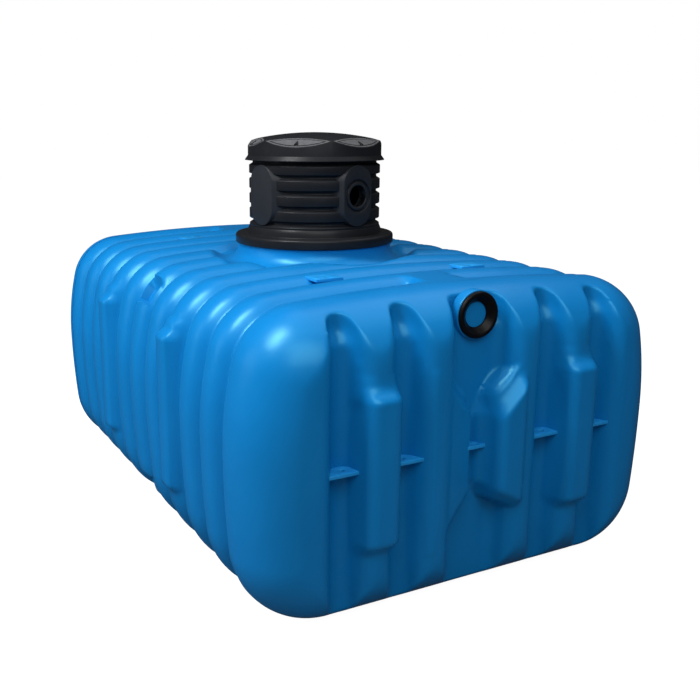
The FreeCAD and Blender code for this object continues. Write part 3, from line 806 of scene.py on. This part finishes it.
    def end_panel(self, border: np.ndarray, end: End, wall: float) -> Piece:
        """Ribbed panel inside the last ring of a rounded end.

        Args:
            border: Points of the last ring, clockwise from the upper left corner.
            end: Which end.
            wall: Distance inside the outer skin.

        Returns:
            The panel as a grid.
        """
        columns = len(self.across) - 1
        corners = np.cumsum([0, columns, self.end_levels, columns, self.end_levels])
        wrapped = np.concatenate([border, border[:1]])
        top, right, low, left = (wrapped[a:b + 1] for a, b in zip(corners, corners[1:]))
        low, right = low[::-1], right[::-1]
        s = ((self.across + 1) / 2)[None, :, None]
        t = np.linspace(0.0, 1.0, self.end_levels + 1)[:, None, None]
        points = ((1 - t) * low[None] + t * top[None] + (1 - s) * left[:, None] + s * right[:, None]
                  - (1 - s) * (1 - t) * low[0] - s * (1 - t) * low[-1]
                  - (1 - s) * t * top[0] - s * t * top[-1])
        inside = points[1:-1, 1:-1].reshape(-1, 3)
        outline = self.end_outline[0]
        away = np.min(np.hypot(inside[:, None, 0] - outline[None, :, 0],
                               inside[:, None, 2] - outline[None, :, 1]), axis=1) - wall
        radius = self.end_rounding - wall
        short = np.clip(radius - away, 0.0, radius)
        rounded = self.rounding_start + np.sqrt(radius ** 2 - short ** 2)
        inside[:, 1] = end.value * self.end_reach(inside[:, 0], inside[:, 2], rounded, wall)
        points[1:-1, 1:-1] = inside.reshape(self.end_levels - 1, columns - 1, 3)
        return Bench.grid(columns, self.end_levels, points)

    def side_posts(self) -> list[Post]:
        """Columns on two ribs of each side."""
        front = self.section.half_width + self.side_post_proud
        column = Post(middle=self.side_post_rib * self.rings.pitch, half_width=0.070, front=front,
                      crest=front - self.rings.depth, foot=0.300, head=1.085, foot_bevel=0.040,
                      head_bevel=0.062, rounding=0.040)
        return [replace(column, middle=-column.middle), column]

    def barrel_depth(self, x: np.ndarray, y: np.ndarray, z: np.ndarray) -> np.ndarray:
        """Depth of the barrel's skin below the plain section.

        Args:
            x: Places of the plain section across the tank.
            y: Places along it.
            z: Heights of the plain section.

        Returns:
            The depths.
        """
        depth = self.rings.depth_at(y)
        on_roof = z > self.section.top_corner[1]
        groove = self.barrel_half - self.rings.pitch / 2
        near = np.abs(np.abs(y) - groove) < self.rings.pitch / 2
        saddle = fade(np.abs(x), self.saddle_half_width - self.saddle_edge,
                      self.saddle_half_width + self.saddle_edge)
        depth = np.where(on_roof & near, depth * (1 - saddle), depth)
        beside = np.abs(x) > self.section.shoulder_x
        middle = fade(np.abs(y), self.pocket_flat, self.pocket_edge)
        for shelf, ceiling in self.pocket_levels:
            over_shelf = fade(shelf - z, -self.shelf_edge, self.shelf_edge)
            up = over_shelf * fade(z - ceiling, *self.ceiling_edge)
            pocket = soft_max(depth, self.pocket_depth * middle * up, self.pocket_softness)
            depth = np.where(beside, pocket, depth)
        return depth

    def barrel_rings(self, steps: tuple[int, int], wall: float) -> np.ndarray:
        """Rings of one skin of the ribbed barrel, from the front seam to the rear one.

        Args:
            steps: Steps on half a crest and on half a groove.
            wall: Distance inside the outer skin.

        Returns:
            Points as (rings, points round the section, 3).
        """
        across = np.linspace(-1.0, 1.0, self.barrel_columns + 1)
        outline, normals = self.section.loop(across, self.barrel_levels)
        half = self.rings.half_period(*steps)
        period = np.concatenate([half, (self.rings.pitch - half[::-1])[1:-1]])
        starts = -self.barrel_half + np.arange(self.ring_crests - 1) * self.rings.pitch
        ribbed = (starts[:, None] + period).ravel()
        stations = np.concatenate([[-self.seam], ribbed, [self.barrel_half, self.seam]])
        y = np.repeat(stations[:, None], len(outline), 1)
        plain_x = np.repeat(outline[None, :, 0], len(stations), 0)
        plain_z = np.repeat(outline[None, :, 1], len(stations), 0)
        ribbed_y = np.clip(y, -self.barrel_half, self.barrel_half)
        depth = self.barrel_depth(plain_x, ribbed_y, plain_z) + wall
        x = plain_x - depth * normals[None, :, 0]
        z = plain_z - depth * normals[None, :, 1]
        flat = fade(np.hypot(x, y), self.platform_inner, self.platform_outer)
        flat = np.where(plain_z > self.section.shoulder_end, flat, 0.0)
        z = z + (self.platform_level - wall - z) * flat
        if wall == 0.0:
            for post in self.side_posts():
                beside = np.abs(plain_x) > self.section.shoulder_x
                out = soft_max(np.abs(x), post.reach(y, z), self.side_post_softness)
                x = np.where(beside, np.sign(plain_x) * out, x)
        return np.stack([x, y, z], 2)

    @staticmethod
    def closed_grid(rings: np.ndarray) -> Piece:
        """Grid through rings whose last point meets the first."""
        closed = np.concatenate([rings, rings[:, :1]], 1)
        return Bench.grid(closed.shape[1] - 1, closed.shape[0] - 1, closed)

    def build(self) -> None:
        """Build and dress the barrel and both ends."""
        outer = self.barrel_rings(self.barrel_steps, 0.0)
        inner = self.barrel_rings(self.lining_steps, self.wall)
        tube = self.closed_grid(np.concatenate([outer, inner[::-1], outer[:1]]))
        barrel = Bench.outward(Bench.join([tube], merge=MERGE))
        neck = Vector((0.0, 0.0, self.platform_level))
        reach = Vector((0.0, 0.0, self.end_rounding / 2))
        Bench.cut(barrel, Bench.drill(self.neck_hole, neck - reach, neck + reach, self.neck_segments))
        strips = [side + zone for side in ("left_", "right_")
                  for zone in ("upper_side", "shoulder", "lower_side", "haunch", "side_columns")]
        Bench.dress(barrel, "ribbed_barrel", BLUE_SHELL, Slot.BLUE, Body.TANK,
                    ("floor", "roof", "roof_saddles", *strips), sharp=SHELL_SHARP)
        for end, name in ((End.FRONT, "front_end"), (End.REAR, "rear_end")):
            outer, inner = self.end_rings(end, 0.0), self.end_rings(end, self.wall)
            rim = self.closed_grid(np.concatenate([inner[::-1], outer]))
            panels = [self.end_panel(outer[-1], end, 0.0), self.end_panel(inner[-1], end, self.wall)]
            cap = Bench.outward(Bench.join([rim, *panels], merge=MERGE))
            Bench.dress(cap, name + "_moulding", BLUE_SHELL, Slot.BLUE, Body.TANK, (name,),
                        sharp=SHELL_SHARP)


@dataclass
class Neck:
    """Flared round neck on the roof platform."""

    platform: float = 1.238
    top: float = 1.326
    radius: float = 0.392
    flare: float = 0.070
    flare_lift: float = 0.0005
    flare_start: float = math.radians(268.0)
    flare_steps: int = 12
    lip: float = 0.004
    bore: float = 0.300
    wall: float = 0.010
    sunk: float = 0.020
    segments: int = 160

    def build(self) -> None:
        """Turn and dress the neck."""
        turns = np.linspace(self.flare_start, math.pi, self.flare_steps + 1)
        centre_r = self.radius + self.flare
        centre_z = self.platform + self.flare + self.flare_lift
        sweep = [(centre_r + self.flare * math.cos(turn), centre_z + self.flare * math.sin(turn))
                 for turn in turns]
        inside, foot, ceiling = self.radius - self.wall, self.platform - self.sunk, self.top - self.wall
        profile = [(sweep[0][0], foot), *sweep, (self.radius, self.top - self.lip),
                   (self.radius - self.lip, self.top), (self.bore, self.top), (self.bore, ceiling),
                   (inside, ceiling), (inside, foot)]
        neck = Bench.turned(profile, self.segments)
        Bench.dress(neck, "flared_neck", BLUE_SHELL, Slot.BLUE, Body.TANK, ("neck_collar",))


@dataclass
class InletFitting:
    """Inlet boss high in the middle groove of the front end, with its rubber seal."""

    level: float = 1.18
    face: float = -1.346
    boss_radius: float = 0.099
    boss_root: float = -1.30
    boss_inner: float = 0.010
    boss_edge: float = 0.004
    boss_corner: float = 0.0012
    pocket_depth: float = 0.016
    seal_radius: float = 0.094
    seal_bore: float = 0.0515
    seal_proud: float = 0.014
    seal_gap: float = 0.0004
    seal_lift: float = 0.0003
    seal_rounding: float = 0.002
    seal_rim: Pairs = ((0.0, 0.006), (0.005, 0.0), (0.016, 0.0))
    seal_lip: Pairs = ((0.022, 0.003), (0.016, 0.008), (0.006, 0.018), (0.0, 0.023))
    segments: int = 96

    def _place(self) -> Matrix:
        """Place of a fitting that was turned about Z with its front upwards."""
        return Matrix.Translation((0.0, self.face, self.level)) @ Matrix.Rotation(math.pi / 2, 4, "X")

    def build(self) -> None:
        """Build and dress the boss and the seal."""
        root = self.face - self.boss_root
        pocket = self.seal_radius + self.seal_gap
        boss = Bench.turned([(self.boss_inner, root), (self.boss_radius, root),
                             (self.boss_radius, -self.boss_edge),
                             (self.boss_radius - self.boss_corner, -self.boss_corner),
                             (self.boss_radius - self.boss_edge, 0.0), (pocket, 0.0),
                             (pocket, -self.pocket_depth), (self.boss_inner, -self.pocket_depth)],
                            self.segments, closed=False)
        Bench.dress(Bench.move(boss, self._place()), "inlet_boss", BLUE_SHELL, Slot.BLUE, Body.TANK)
        back, front = self.seal_lift - self.pocket_depth, self.seal_proud
        rim = [(self.seal_radius - inward, front - behind) for inward, behind in self.seal_rim]
        lip = [(self.seal_bore + outward, front - behind) for outward, behind in self.seal_lip]
        profile = [(self.seal_radius, back), *rim, *lip, (self.seal_bore, back)]
        seal = Bench.soften(Bench.turned(profile, self.segments), self.seal_rounding, angle=20.0)
        Bench.dress(Bench.move(seal, self._place()), "inlet_rubber_seal", SEAL_RUBBER, Slot.SEAL,
                    Body.TANK, ("inlet_seal",))


@dataclass
class Lugs:
    """Level webs with a hole: five in the grooves of each end and four in the roof grooves."""

    thickness: float = 0.014
    edge: float = 0.0025
    hole_radius: float = 0.011
    hole_segments: int = 24
    anchor_level: float = 0.640
    anchor_places: tuple[float, ...] = (-0.62, -0.35, 0.0, 0.35, 0.62)
    anchor_half_width: float = 0.102
    anchor_tip: float = 1.405
    middle_tip: float = 1.388
    anchor_root: float = 1.315
    anchor_hole: float = 1.367
    roof_level: float = 1.264
    roof_across: float = 0.375
    roof_along: float = 0.8155
    roof_half_width: float = 0.065
    roof_outer_reach: float = 0.020
    roof_inner_reach: float = 0.085

    def web(self, low: Vector, high: Vector, hole: Vector) -> Piece:
        """One web between two corners with an upright hole.

        Args:
            low: Lowest corner.
            high: Highest corner.
            hole: A point on the hole's axis.

        Returns:
            The web with rounded edges.
        """
        web = Bench.block(low, high)
        reach = Vector((0.0, 0.0, self.thickness))
        Bench.cut(web, Bench.drill(self.hole_radius, hole - reach, hole + reach, self.hole_segments))
        return Bench.soften(web, self.edge, 2)

    def build(self) -> None:
        """Build and dress the anchor webs of both ends and the lifting webs."""
        front = []
        anchor_top = self.anchor_level + self.thickness
        for across in self.anchor_places:
            tip = self.anchor_tip if across else self.middle_tip
            low = Vector((across - self.anchor_half_width, -tip, self.anchor_level))
            high = Vector((across + self.anchor_half_width, -self.anchor_root, anchor_top))
            front.append(self.web(low, high, Vector((across, -self.anchor_hole, self.anchor_level))))
        rear = [Bench.copied(web, Matrix.Rotation(math.pi, 4, "Z")) for web in front]
        for webs, place in ((front, "front"), (rear, "rear")):
            # The webs' lighter blue is painted light on their tops.
            Bench.dress(Bench.join(webs), place + "_anchor_webs", BLUE_WEB_PAINTED_LIGHT, Slot.BLUE, Body.TANK,
                        (place + "_anchor_lugs",))
        lifting = []
        for side in (-1, 1):
            for end in (-1, 1):
                across, top = side * self.roof_across, self.roof_level + self.thickness
                along = sorted(end * (self.roof_along + reach)
                               for reach in (self.roof_outer_reach, -self.roof_inner_reach))
                low = Vector((across - self.roof_half_width, along[0], self.roof_level))
                high = Vector((across + self.roof_half_width, along[1], top))
                hole = Vector((across, end * self.roof_along, self.roof_level))
                lifting.append(self.web(low, high, hole))
        # The lifting webs' lighter blue is painted light on their tops.
        Bench.dress(Bench.join(lifting), "roof_lifting_webs", BLUE_WEB_PAINTED_LIGHT, Slot.BLUE, Body.TANK,
                    ("roof_lifting_lugs",))


@dataclass
class Riser:
    """Black riser: flange with sloping base, ribbed shaft and four oval bosses."""

    bottom: float = 1.326
    shelf: float = 1.372
    shaft_bottom: float = 1.412
    shaft_top: float = 1.752
    bore: float = 0.300
    low: float = 0.314
    high: float = 0.332
    base: float = 0.340
    base_top: float = 1.394
    flange: float = 0.404
    flange_edge: float = 0.013
    flange_steps: int = 6
    flange_rounding: float = 0.003
    shaft_rounding: float = 0.002
    groove_first: float = 1.438
    groove_pitch: float = 0.074
    groove_count: int = 4
    groove_lower: float = 0.017
    groove_floor: float = 0.006
    groove_upper: float = 0.0115
    shoulder: float = 1.711
    shoulder_slope: float = 0.011
    boss_width: float = 0.176
    boss_height: float = 0.294
    boss_draft: float = 0.040
    boss_face: float = 0.336
    boss_turn: float = math.radians(10.5)
    boss_level: float = 1.570
    boss_root_share: float = 0.93
    boss_rounding: float = 0.0035
    boss_segments: int = 64
    socket_bore: float = 0.052
    socket_start: float = 0.02
    socket_length: float = 0.12
    socket_collar: float = 0.067
    socket_recess: float = 0.079
    recess_depth: float = 0.010
    segments: int = 144

    def build(self) -> None:
        """Build and dress the flange, the shaft and the bosses."""
        turns = np.linspace(math.pi / 2, 0.0, self.flange_steps + 1)
        edge = [(self.flange - self.flange_edge * (1 - math.sin(turn)),
                 self.shelf - self.flange_edge * (1 - math.cos(turn))) for turn in turns]
        flange = Bench.turned([(self.bore, self.bottom), (self.flange, self.bottom), *edge,
                               (self.base, self.shelf), (self.base, self.base_top),
                               (self.high, self.shaft_bottom), (self.bore, self.shaft_bottom)],
                              self.segments)
        Bench.soften(flange, self.flange_rounding, angle=25.0)
        Bench.dress(flange, "riser_base_flange", RISER_BLACK, Slot.RISER, Body.TANK, ("riser_flange",))
        shaft = Bench.turned(self._shaft_profile(), self.segments)
        Bench.soften(shaft, self.shaft_rounding, 2, 25.0)
        Bench.cut(shaft, self._socket_drill())
        bosses = [self._boss()]
        for quarter in (1, 2, 3):
            bosses.append(Bench.copied(bosses[0], Matrix.Rotation(math.pi / 2 * quarter, 4, "Z")))
        recess = Bench.turned([(self.socket_collar, 0.0), (self.socket_recess, 0.0),
                               (self.socket_recess, 2 * self.recess_depth),
                               (self.socket_collar, 2 * self.recess_depth)], self.boss_segments)
        face = Matrix.Translation((0.0, -self.boss_face + self.recess_depth, self.boss_level))
        Bench.move(recess, face @ Matrix.Rotation(math.pi / 2, 4, "X"))
        Bench.cut(bosses[0], recess)
        Bench.cut(bosses[0], self._socket_drill())
        for boss in bosses:
            Bench.soften(boss, self.boss_rounding)
        for piece in (shaft, *bosses):
            Bench.move(piece, Matrix.Rotation(self.boss_turn, 4, "Z"))
        Bench.dress(shaft, "riser_ribbed_shaft", RISER_BLACK, Slot.RISER, Body.TANK, ("riser_shaft",))
        # The bosses' lighter black is painted light on their faces.
        for boss, name in zip(bosses, ("front", "right", "rear", "left")):
            Bench.dress(boss, "riser_boss_" + name, RISER_BOSS_PAINTED_LIGHT, Slot.RISER, Body.TANK)

    def _shaft_profile(self) -> Profile:
        """Outline of the shaft's wall with its grooves."""
        profile = [(self.bore, self.shaft_bottom), (self.high, self.shaft_bottom)]
        for groove in range(self.groove_count):
            level = self.groove_first + groove * self.groove_pitch
            profile += [(self.high, level - self.groove_lower), (self.low, level - self.groove_floor),
                        (self.low, level + self.groove_floor), (self.high, level + self.groove_upper)]
        profile += [(self.high, self.shoulder), (self.low, self.shoulder + self.shoulder_slope),
                    (self.low, self.shaft_top), (self.bore, self.shaft_top)]
        return profile

    def _socket_drill(self) -> Piece:
        """Round tool through the front boss and the shaft's wall."""
        start = Vector((0.0, -self.boss_face - self.socket_start, self.boss_level))
        end = start + Vector((0.0, self.socket_length, 0.0))
        return Bench.drill(self.socket_bore, start, end, self.boss_segments)

    def _boss(self) -> Piece:
        """Oval boss at the front with drafted sides."""
        Bench.fresh()
        radius = self.boss_width / 2
        rise = self.boss_height / 2 - radius
        root = -self.bore * self.boss_root_share
        bpy.ops.mesh.primitive_circle_add(vertices=self.boss_segments, radius=radius, fill_type="NGON",
                                          rotation=(math.pi / 2, 0.0, 0.0))
        boss = bpy.context.object
        bpy.ops.object.transform_apply(rotation=True)
        points = np.array([vertex.co for vertex in boss.data.vertices])
        level = np.where(np.abs(points[:, 2]) > MERGE, np.sign(points[:, 2]), 0.0)
        points[:, 2] += level * rise
        points += (0.0, -self.boss_face, self.boss_level)
        Bench.edit(Bench.shape(boss, points))
        Bench.extrude((0.0, self.boss_face + root, 0.0))
        spread = (radius + self.boss_draft) / radius
        bpy.ops.transform.resize(value=(spread, 1.0, 1.0), center_override=(0.0, root, self.boss_level))
        bpy.ops.object.mode_set(mode="OBJECT")
        return Bench.outward(boss)


@dataclass
class Lid:
    """Domed lid with six flats round its edge, a flared rim and a pointer on each flat."""

    bottom: float = 1.735
    rim: float = 0.352
    rim_height: float = 0.003
    band: float = 0.337
    flare_top: float = 1.758
    band_top: float = 1.830
    crown: float = 1.870
    skirt: float = 0.320
    seat: float = 1.752
    inside: float = 0.294
    inner_height: float = 1.786
    wall: float = 0.010
    facet_count: int = 6
    facet_turn: float = math.radians(16.0)
    facet_drop: float = 0.031
    facet_slope: float = math.radians(34.5)
    edge: float = 0.0012
    dome_steps: int = 12
    lining_steps: int = 8
    crown_flat: float = 0.004
    panel_steps: Pairs = ((0.004, 0.0010), (0.017, 0.0022))
    ring_step: tuple[float, float] = (0.012, 0.0016)
    panel_sunk: float = 0.002
    panel_segments: int = 64
    panel_search: float = 0.8
    panel_tries: int = 800
    pointer_radius: float = 0.022
    pointer_narrowing: float = 0.62
    pointer_height: float = 0.006
    pointer_edge: float = 0.0008
    pointer_place: Triple = (0.0, 0.029, -0.001)
    segments: int = 180

    def _dome(self, reach: float, crown: float, edge: float, steps: int) -> Profile:
        """Points of a dome from its edge to near its crown."""
        radius = arc_radius(reach, crown - edge)
        places = np.linspace(reach, self.crown_flat, steps)
        return [(float(r), float(crown - radius + math.sqrt(radius ** 2 - r ** 2))) for r in places]

    def _facet_place(self, facet: int) -> Matrix:
        """Frame on a flat: Y up its slope and inwards, Z out of it."""
        turn = Matrix.Rotation(self.facet_turn + facet * math.tau / self.facet_count, 4, "Z")
        edge = Matrix.Translation((0.0, -self.band, self.band_top - self.facet_drop))
        return turn @ edge @ Matrix.Rotation(self.facet_slope, 4, "X")

    def build(self) -> None:
        """Build and dress the lid, its grip panels and rings, and its pointers."""
        profile = self._dome(self.band, self.crown, self.band_top, self.dome_steps)[::-1]
        profile += [(self.band, self.flare_top), (self.rim, self.bottom + self.rim_height),
                    (self.rim, self.bottom), (self.skirt, self.bottom), (self.skirt, self.seat),
                    (self.inside, self.seat)]
        profile += self._dome(self.inside, self.crown - self.wall, self.inner_height, self.lining_steps)
        lid = Bench.turned(profile, self.segments, closed=False)
        facets = range(self.facet_count)
        reach = self.rim + self.wall
        for facet in facets:
            tool = Bench.block(Vector((-reach, -reach, 0.0)), Vector((reach, reach, reach)))
            Bench.cut(lid, Bench.move(tool, self._facet_place(facet)))
        Bench.soften(lid, self.edge, 2, 18.0)
        Bench.dress(lid, "domed_lid", LID_BLACK, Slot.LID, Body.LID, ("lid_cover",), sharp=30.0)
        panels = [self._lens(*step, facet) for facet in facets for step in self.panel_steps]
        # The panels' grey is painted sheen on the lid's flats.
        Bench.dress(Bench.join(panels), "lid_grip_panels", LID_GRIP_AND_PAINTED_SHEEN, Slot.LID, Body.LID)
        rings = [self._lens(*self.ring_step, facet) for facet in facets]
        Bench.dress(Bench.join(rings), "lid_grip_rings", LID_BLACK, Slot.LID, Body.LID)
        pointers = [self._pointer(facet) for facet in facets]
        Bench.dress(Bench.join(pointers), "lid_pointers", SEAL_RUBBER, Slot.LID, Body.LID)

    def _lens(self, inset: float, top: float, facet: int) -> Piece:
        """Thin panel that follows a flat's outline.

        Args:
            inset: Distance inside the flat's outline.
            top: Height of its face above the flat.
            facet: Number of the flat.

        Returns:
            The panel on its flat.
        """
        radius = arc_radius(self.band, self.crown - self.band_top)
        rise = self.band_top - self.facet_drop - (self.crown - radius)
        lean = rise * math.sin(self.facet_slope) - self.band * math.cos(self.facet_slope)

        def low(x: np.ndarray) -> np.ndarray:
            """Lower edge of the panel on the flat."""
            return (self.band - np.sqrt(self.band ** 2 - x ** 2)) / math.cos(self.facet_slope) + inset

        def high(x: np.ndarray) -> np.ndarray:
            """Upper edge of the panel on the flat."""
            return np.sqrt(lean ** 2 - self.band ** 2 - rise ** 2 - x ** 2 + radius ** 2) - lean - inset

        places = np.linspace(0.0, self.band * self.panel_search, self.panel_tries)
        half = places[high(places) > low(places)][-1]
        Bench.fresh()
        bpy.ops.mesh.primitive_circle_add(vertices=self.panel_segments, radius=1.0, fill_type="NGON")
        panel = bpy.context.object
        points = np.array([vertex.co for vertex in panel.data.vertices])
        points[:, 0] *= half
        points[:, 1] = np.where(points[:, 1] > 0.0, high(points[:, 0]), low(points[:, 0]))
        points[:, 2] = -self.panel_sunk
        Bench.edit(Bench.shape(panel, points))
        Bench.extrude((0.0, 0.0, self.panel_sunk + top))
        bpy.ops.object.mode_set(mode="OBJECT")
        return Bench.move(Bench.outward(panel), self._facet_place(facet))

    def _pointer(self, facet: int) -> Piece:
        """Raised triangle in the middle of a flat, pointing up its slope."""
        Bench.fresh()
        bpy.ops.mesh.primitive_circle_add(vertices=3, radius=self.pointer_radius, fill_type="NGON")
        pointer = bpy.context.object
        Bench.edit(pointer)
        bpy.ops.transform.resize(value=(self.pointer_narrowing, 1.0, 1.0))
        Bench.extrude((0.0, 0.0, self.pointer_height))
        bpy.ops.object.mode_set(mode="OBJECT")
        Bench.soften(Bench.outward(pointer), self.pointer_edge, 2)
        return Bench.move(pointer, self._facet_place(facet) @ Matrix.Translation(self.pointer_place))


def aimed(place: Vector, target: Vector) -> Matrix:
    """Frame at a place that looks along -Z at a target."""
    return Matrix.Translation(place) @ (target - place).to_track_quat("-Z", "Y").to_matrix().to_4x4()


@dataclass(frozen=True)
class Lamp:
    """Soft rectangular lamp: its place, what it faces, its size, and its power in watts."""

    name: str
    place: Triple
    target: Triple
    size: tuple[float, float]
    power: float
    mirrored: bool = True

    def build(self) -> None:
        """Hang the lamp, and hide it from reflections if it isn't to be mirrored."""
        lamp = bpy.data.lights.new(self.name, "AREA")
        lamp.shape = "RECTANGLE"
        lamp.size, lamp.size_y = self.size
        lamp.energy = self.power
        stand = bpy.data.objects.new(self.name, lamp)
        stand.matrix_world = aimed(Vector(self.place), Vector(self.target))
        stand.visible_glossy = self.mirrored
        bpy.context.scene.collection.objects.link(stand)


@dataclass
class Studio:
    """Pale floor, soft lamps and the camera."""

    camera_place: Triple = (-2.1844, -4.0412, 1.8928)
    camera_yaw: float = 0.4819
    camera_pitch: float = 0.235
    focal_pixels: float = 888.2
    middle_pixels: tuple[float, float] = (-47.87, -9.93)
    sensor: float = 36.0
    floor_size: float = 60.0
    floor_colour: Triple = (0.25, 0.25, 0.25)
    floor_roughness: float = 0.9
    floor_glow: float = 0.965
    mirrored_white: float = 0.03
    ambient: float = 0.17
    lamps: tuple[Lamp, ...] = (
        Lamp("key_lamp", (-3.7, -0.7, 6.0), (-0.3, -0.4, 1.0), (1.2, 2.8), 360.0),
        Lamp("front_lamp", (-1.5, -4.8, 4.7), (0.0, -1.4, 0.9), (5.0, 3.0), 172.0),
        Lamp("left_lamp", (-6.0, 1.8, 2.8), (-0.9, -0.6, 0.7), (3.0, 3.0), 205.0, mirrored=False),
        Lamp("overhead_lamp", (1.6, -0.5, 6.4), (0.6, -0.3, 0.0), (6.0, 6.0), 112.0))

    def build(self) -> None:
        """Set the floor, the world, the lamps and the camera."""
        bpy.context.scene.view_settings.view_transform = "Standard"
        self._floor()
        self._world()
        for lamp in self.lamps:
            lamp.build()
        self._camera()

    @staticmethod
    def _seen_rays(tree: Tree) -> Socket:
        """Add nodes that tell the rays that see the surroundings.

        Args:
            tree: Node tree that gets the nodes.

        Returns:
            Socket with 1 for camera and transmitted rays, else 0.
        """
        path = tree.nodes.new("ShaderNodeLightPath")
        either = add_node(tree, "ShaderNodeMath", {0: path.outputs["Is Camera Ray"],
                                                   1: path.outputs["Is Transmission Ray"]})
        either.operation = "MAXIMUM"
        return either.outputs["Value"]

    def _dim_mirrored(self, tree: Tree, shader: Socket, kind: str, output: str) -> None:
        """Link a shader to the output, with a dim plain glow in its place in reflections.

        Args:
            tree: Node tree that gets the nodes.
            shader: Shader for all other rays.
            kind: Type of the glowing node.
            output: Name of the output node.
        """
        path = tree.nodes.new("ShaderNodeLightPath")
        dim = add_node(tree, kind, {"Color": WHITE, "Strength": self.mirrored_white})
        mix = add_node(tree, "ShaderNodeMixShader", {"Fac": path.outputs["Is Glossy Ray"], 1: shader,
                                                     2: dim.outputs[0]})
        wire(tree, tree.nodes[output], {"Surface": mix.outputs["Shader"]})

    def _world(self) -> None:
        """White surroundings where they are seen, and a plain soft light for the rest."""
        world = bpy.data.worlds.new("studio")
        world.use_nodes = True
        bpy.context.scene.world = world
        tree = world.node_tree
        soft = wire(tree, tree.nodes["Background"], {"Color": WHITE, "Strength": self.ambient})
        white = add_node(tree, "ShaderNodeBackground", {"Color": WHITE, "Strength": 1.0})
        mix = add_node(tree, "ShaderNodeMixShader", {"Fac": self._seen_rays(tree),
                                                     1: soft.outputs["Background"],
                                                     2: white.outputs["Background"]})
        self._dim_mirrored(tree, mix.outputs["Shader"], "ShaderNodeBackground", "World Output")

    def _floor(self) -> None:
        """Pale floor with a glow where it is seen, so that it is white and holds the shadow."""
        Bench.fresh()
        bpy.ops.mesh.primitive_plane_add(size=self.floor_size)
        floor = bpy.context.object
        floor.name = "studio_floor"
        material = bpy.data.materials.new("pale_floor")
        material.use_nodes = True
        tree = material.node_tree
        matt = wire(tree, tree.nodes["Principled BSDF"], {
            "Base Color": (*self.floor_colour, 1.0), "Roughness": self.floor_roughness,
            "Specular IOR Level": 0.0})
        strength = add_node(tree, "ShaderNodeMath", {0: self._seen_rays(tree), 1: self.floor_glow})
        strength.operation = "MULTIPLY"
        glow = add_node(tree, "ShaderNodeEmission", {"Strength": strength.outputs["Value"]})
        both = add_node(tree, "ShaderNodeAddShader", {0: matt.outputs["BSDF"],
                                                      1: glow.outputs["Emission"]})
        self._dim_mirrored(tree, both.outputs["Shader"], "ShaderNodeEmission", "Material Output")
        floor.data.materials.append(material)

    def _camera(self) -> None:
        """Set the camera at the photograph's viewing angle."""
        lens = bpy.data.cameras.new("camera")
        lens.sensor_width = self.sensor
        lens.lens = self.focal_pixels / PHOTO_SIDE * self.sensor
        lens.shift_x = -self.middle_pixels[0] / PHOTO_SIDE
        lens.shift_y = self.middle_pixels[1] / PHOTO_SIDE
        camera = bpy.data.objects.new("camera", lens)
        level = math.cos(self.camera_pitch)
        look = Vector((math.sin(self.camera_yaw) * level, math.cos(self.camera_yaw) * level,
                       -math.sin(self.camera_pitch)))
        place = Vector(self.camera_place)
        camera.matrix_world = aimed(place, place + look)
        bpy.context.scene.collection.objects.link(camera)
        bpy.context.scene.camera = camera


def main() -> None:
    """Build every sub-assembly in order."""
    logging.basicConfig(level=logging.INFO, format="%(name)s %(message)s")
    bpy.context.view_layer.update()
    for assembly in (TankShell(), Neck(), InletFitting(), Lugs(), Riser(), Lid(), Studio()):
        LOG.info("building %s", type(assembly).__name__)
        assembly.build()


if __name__ == "__main__":
    main()
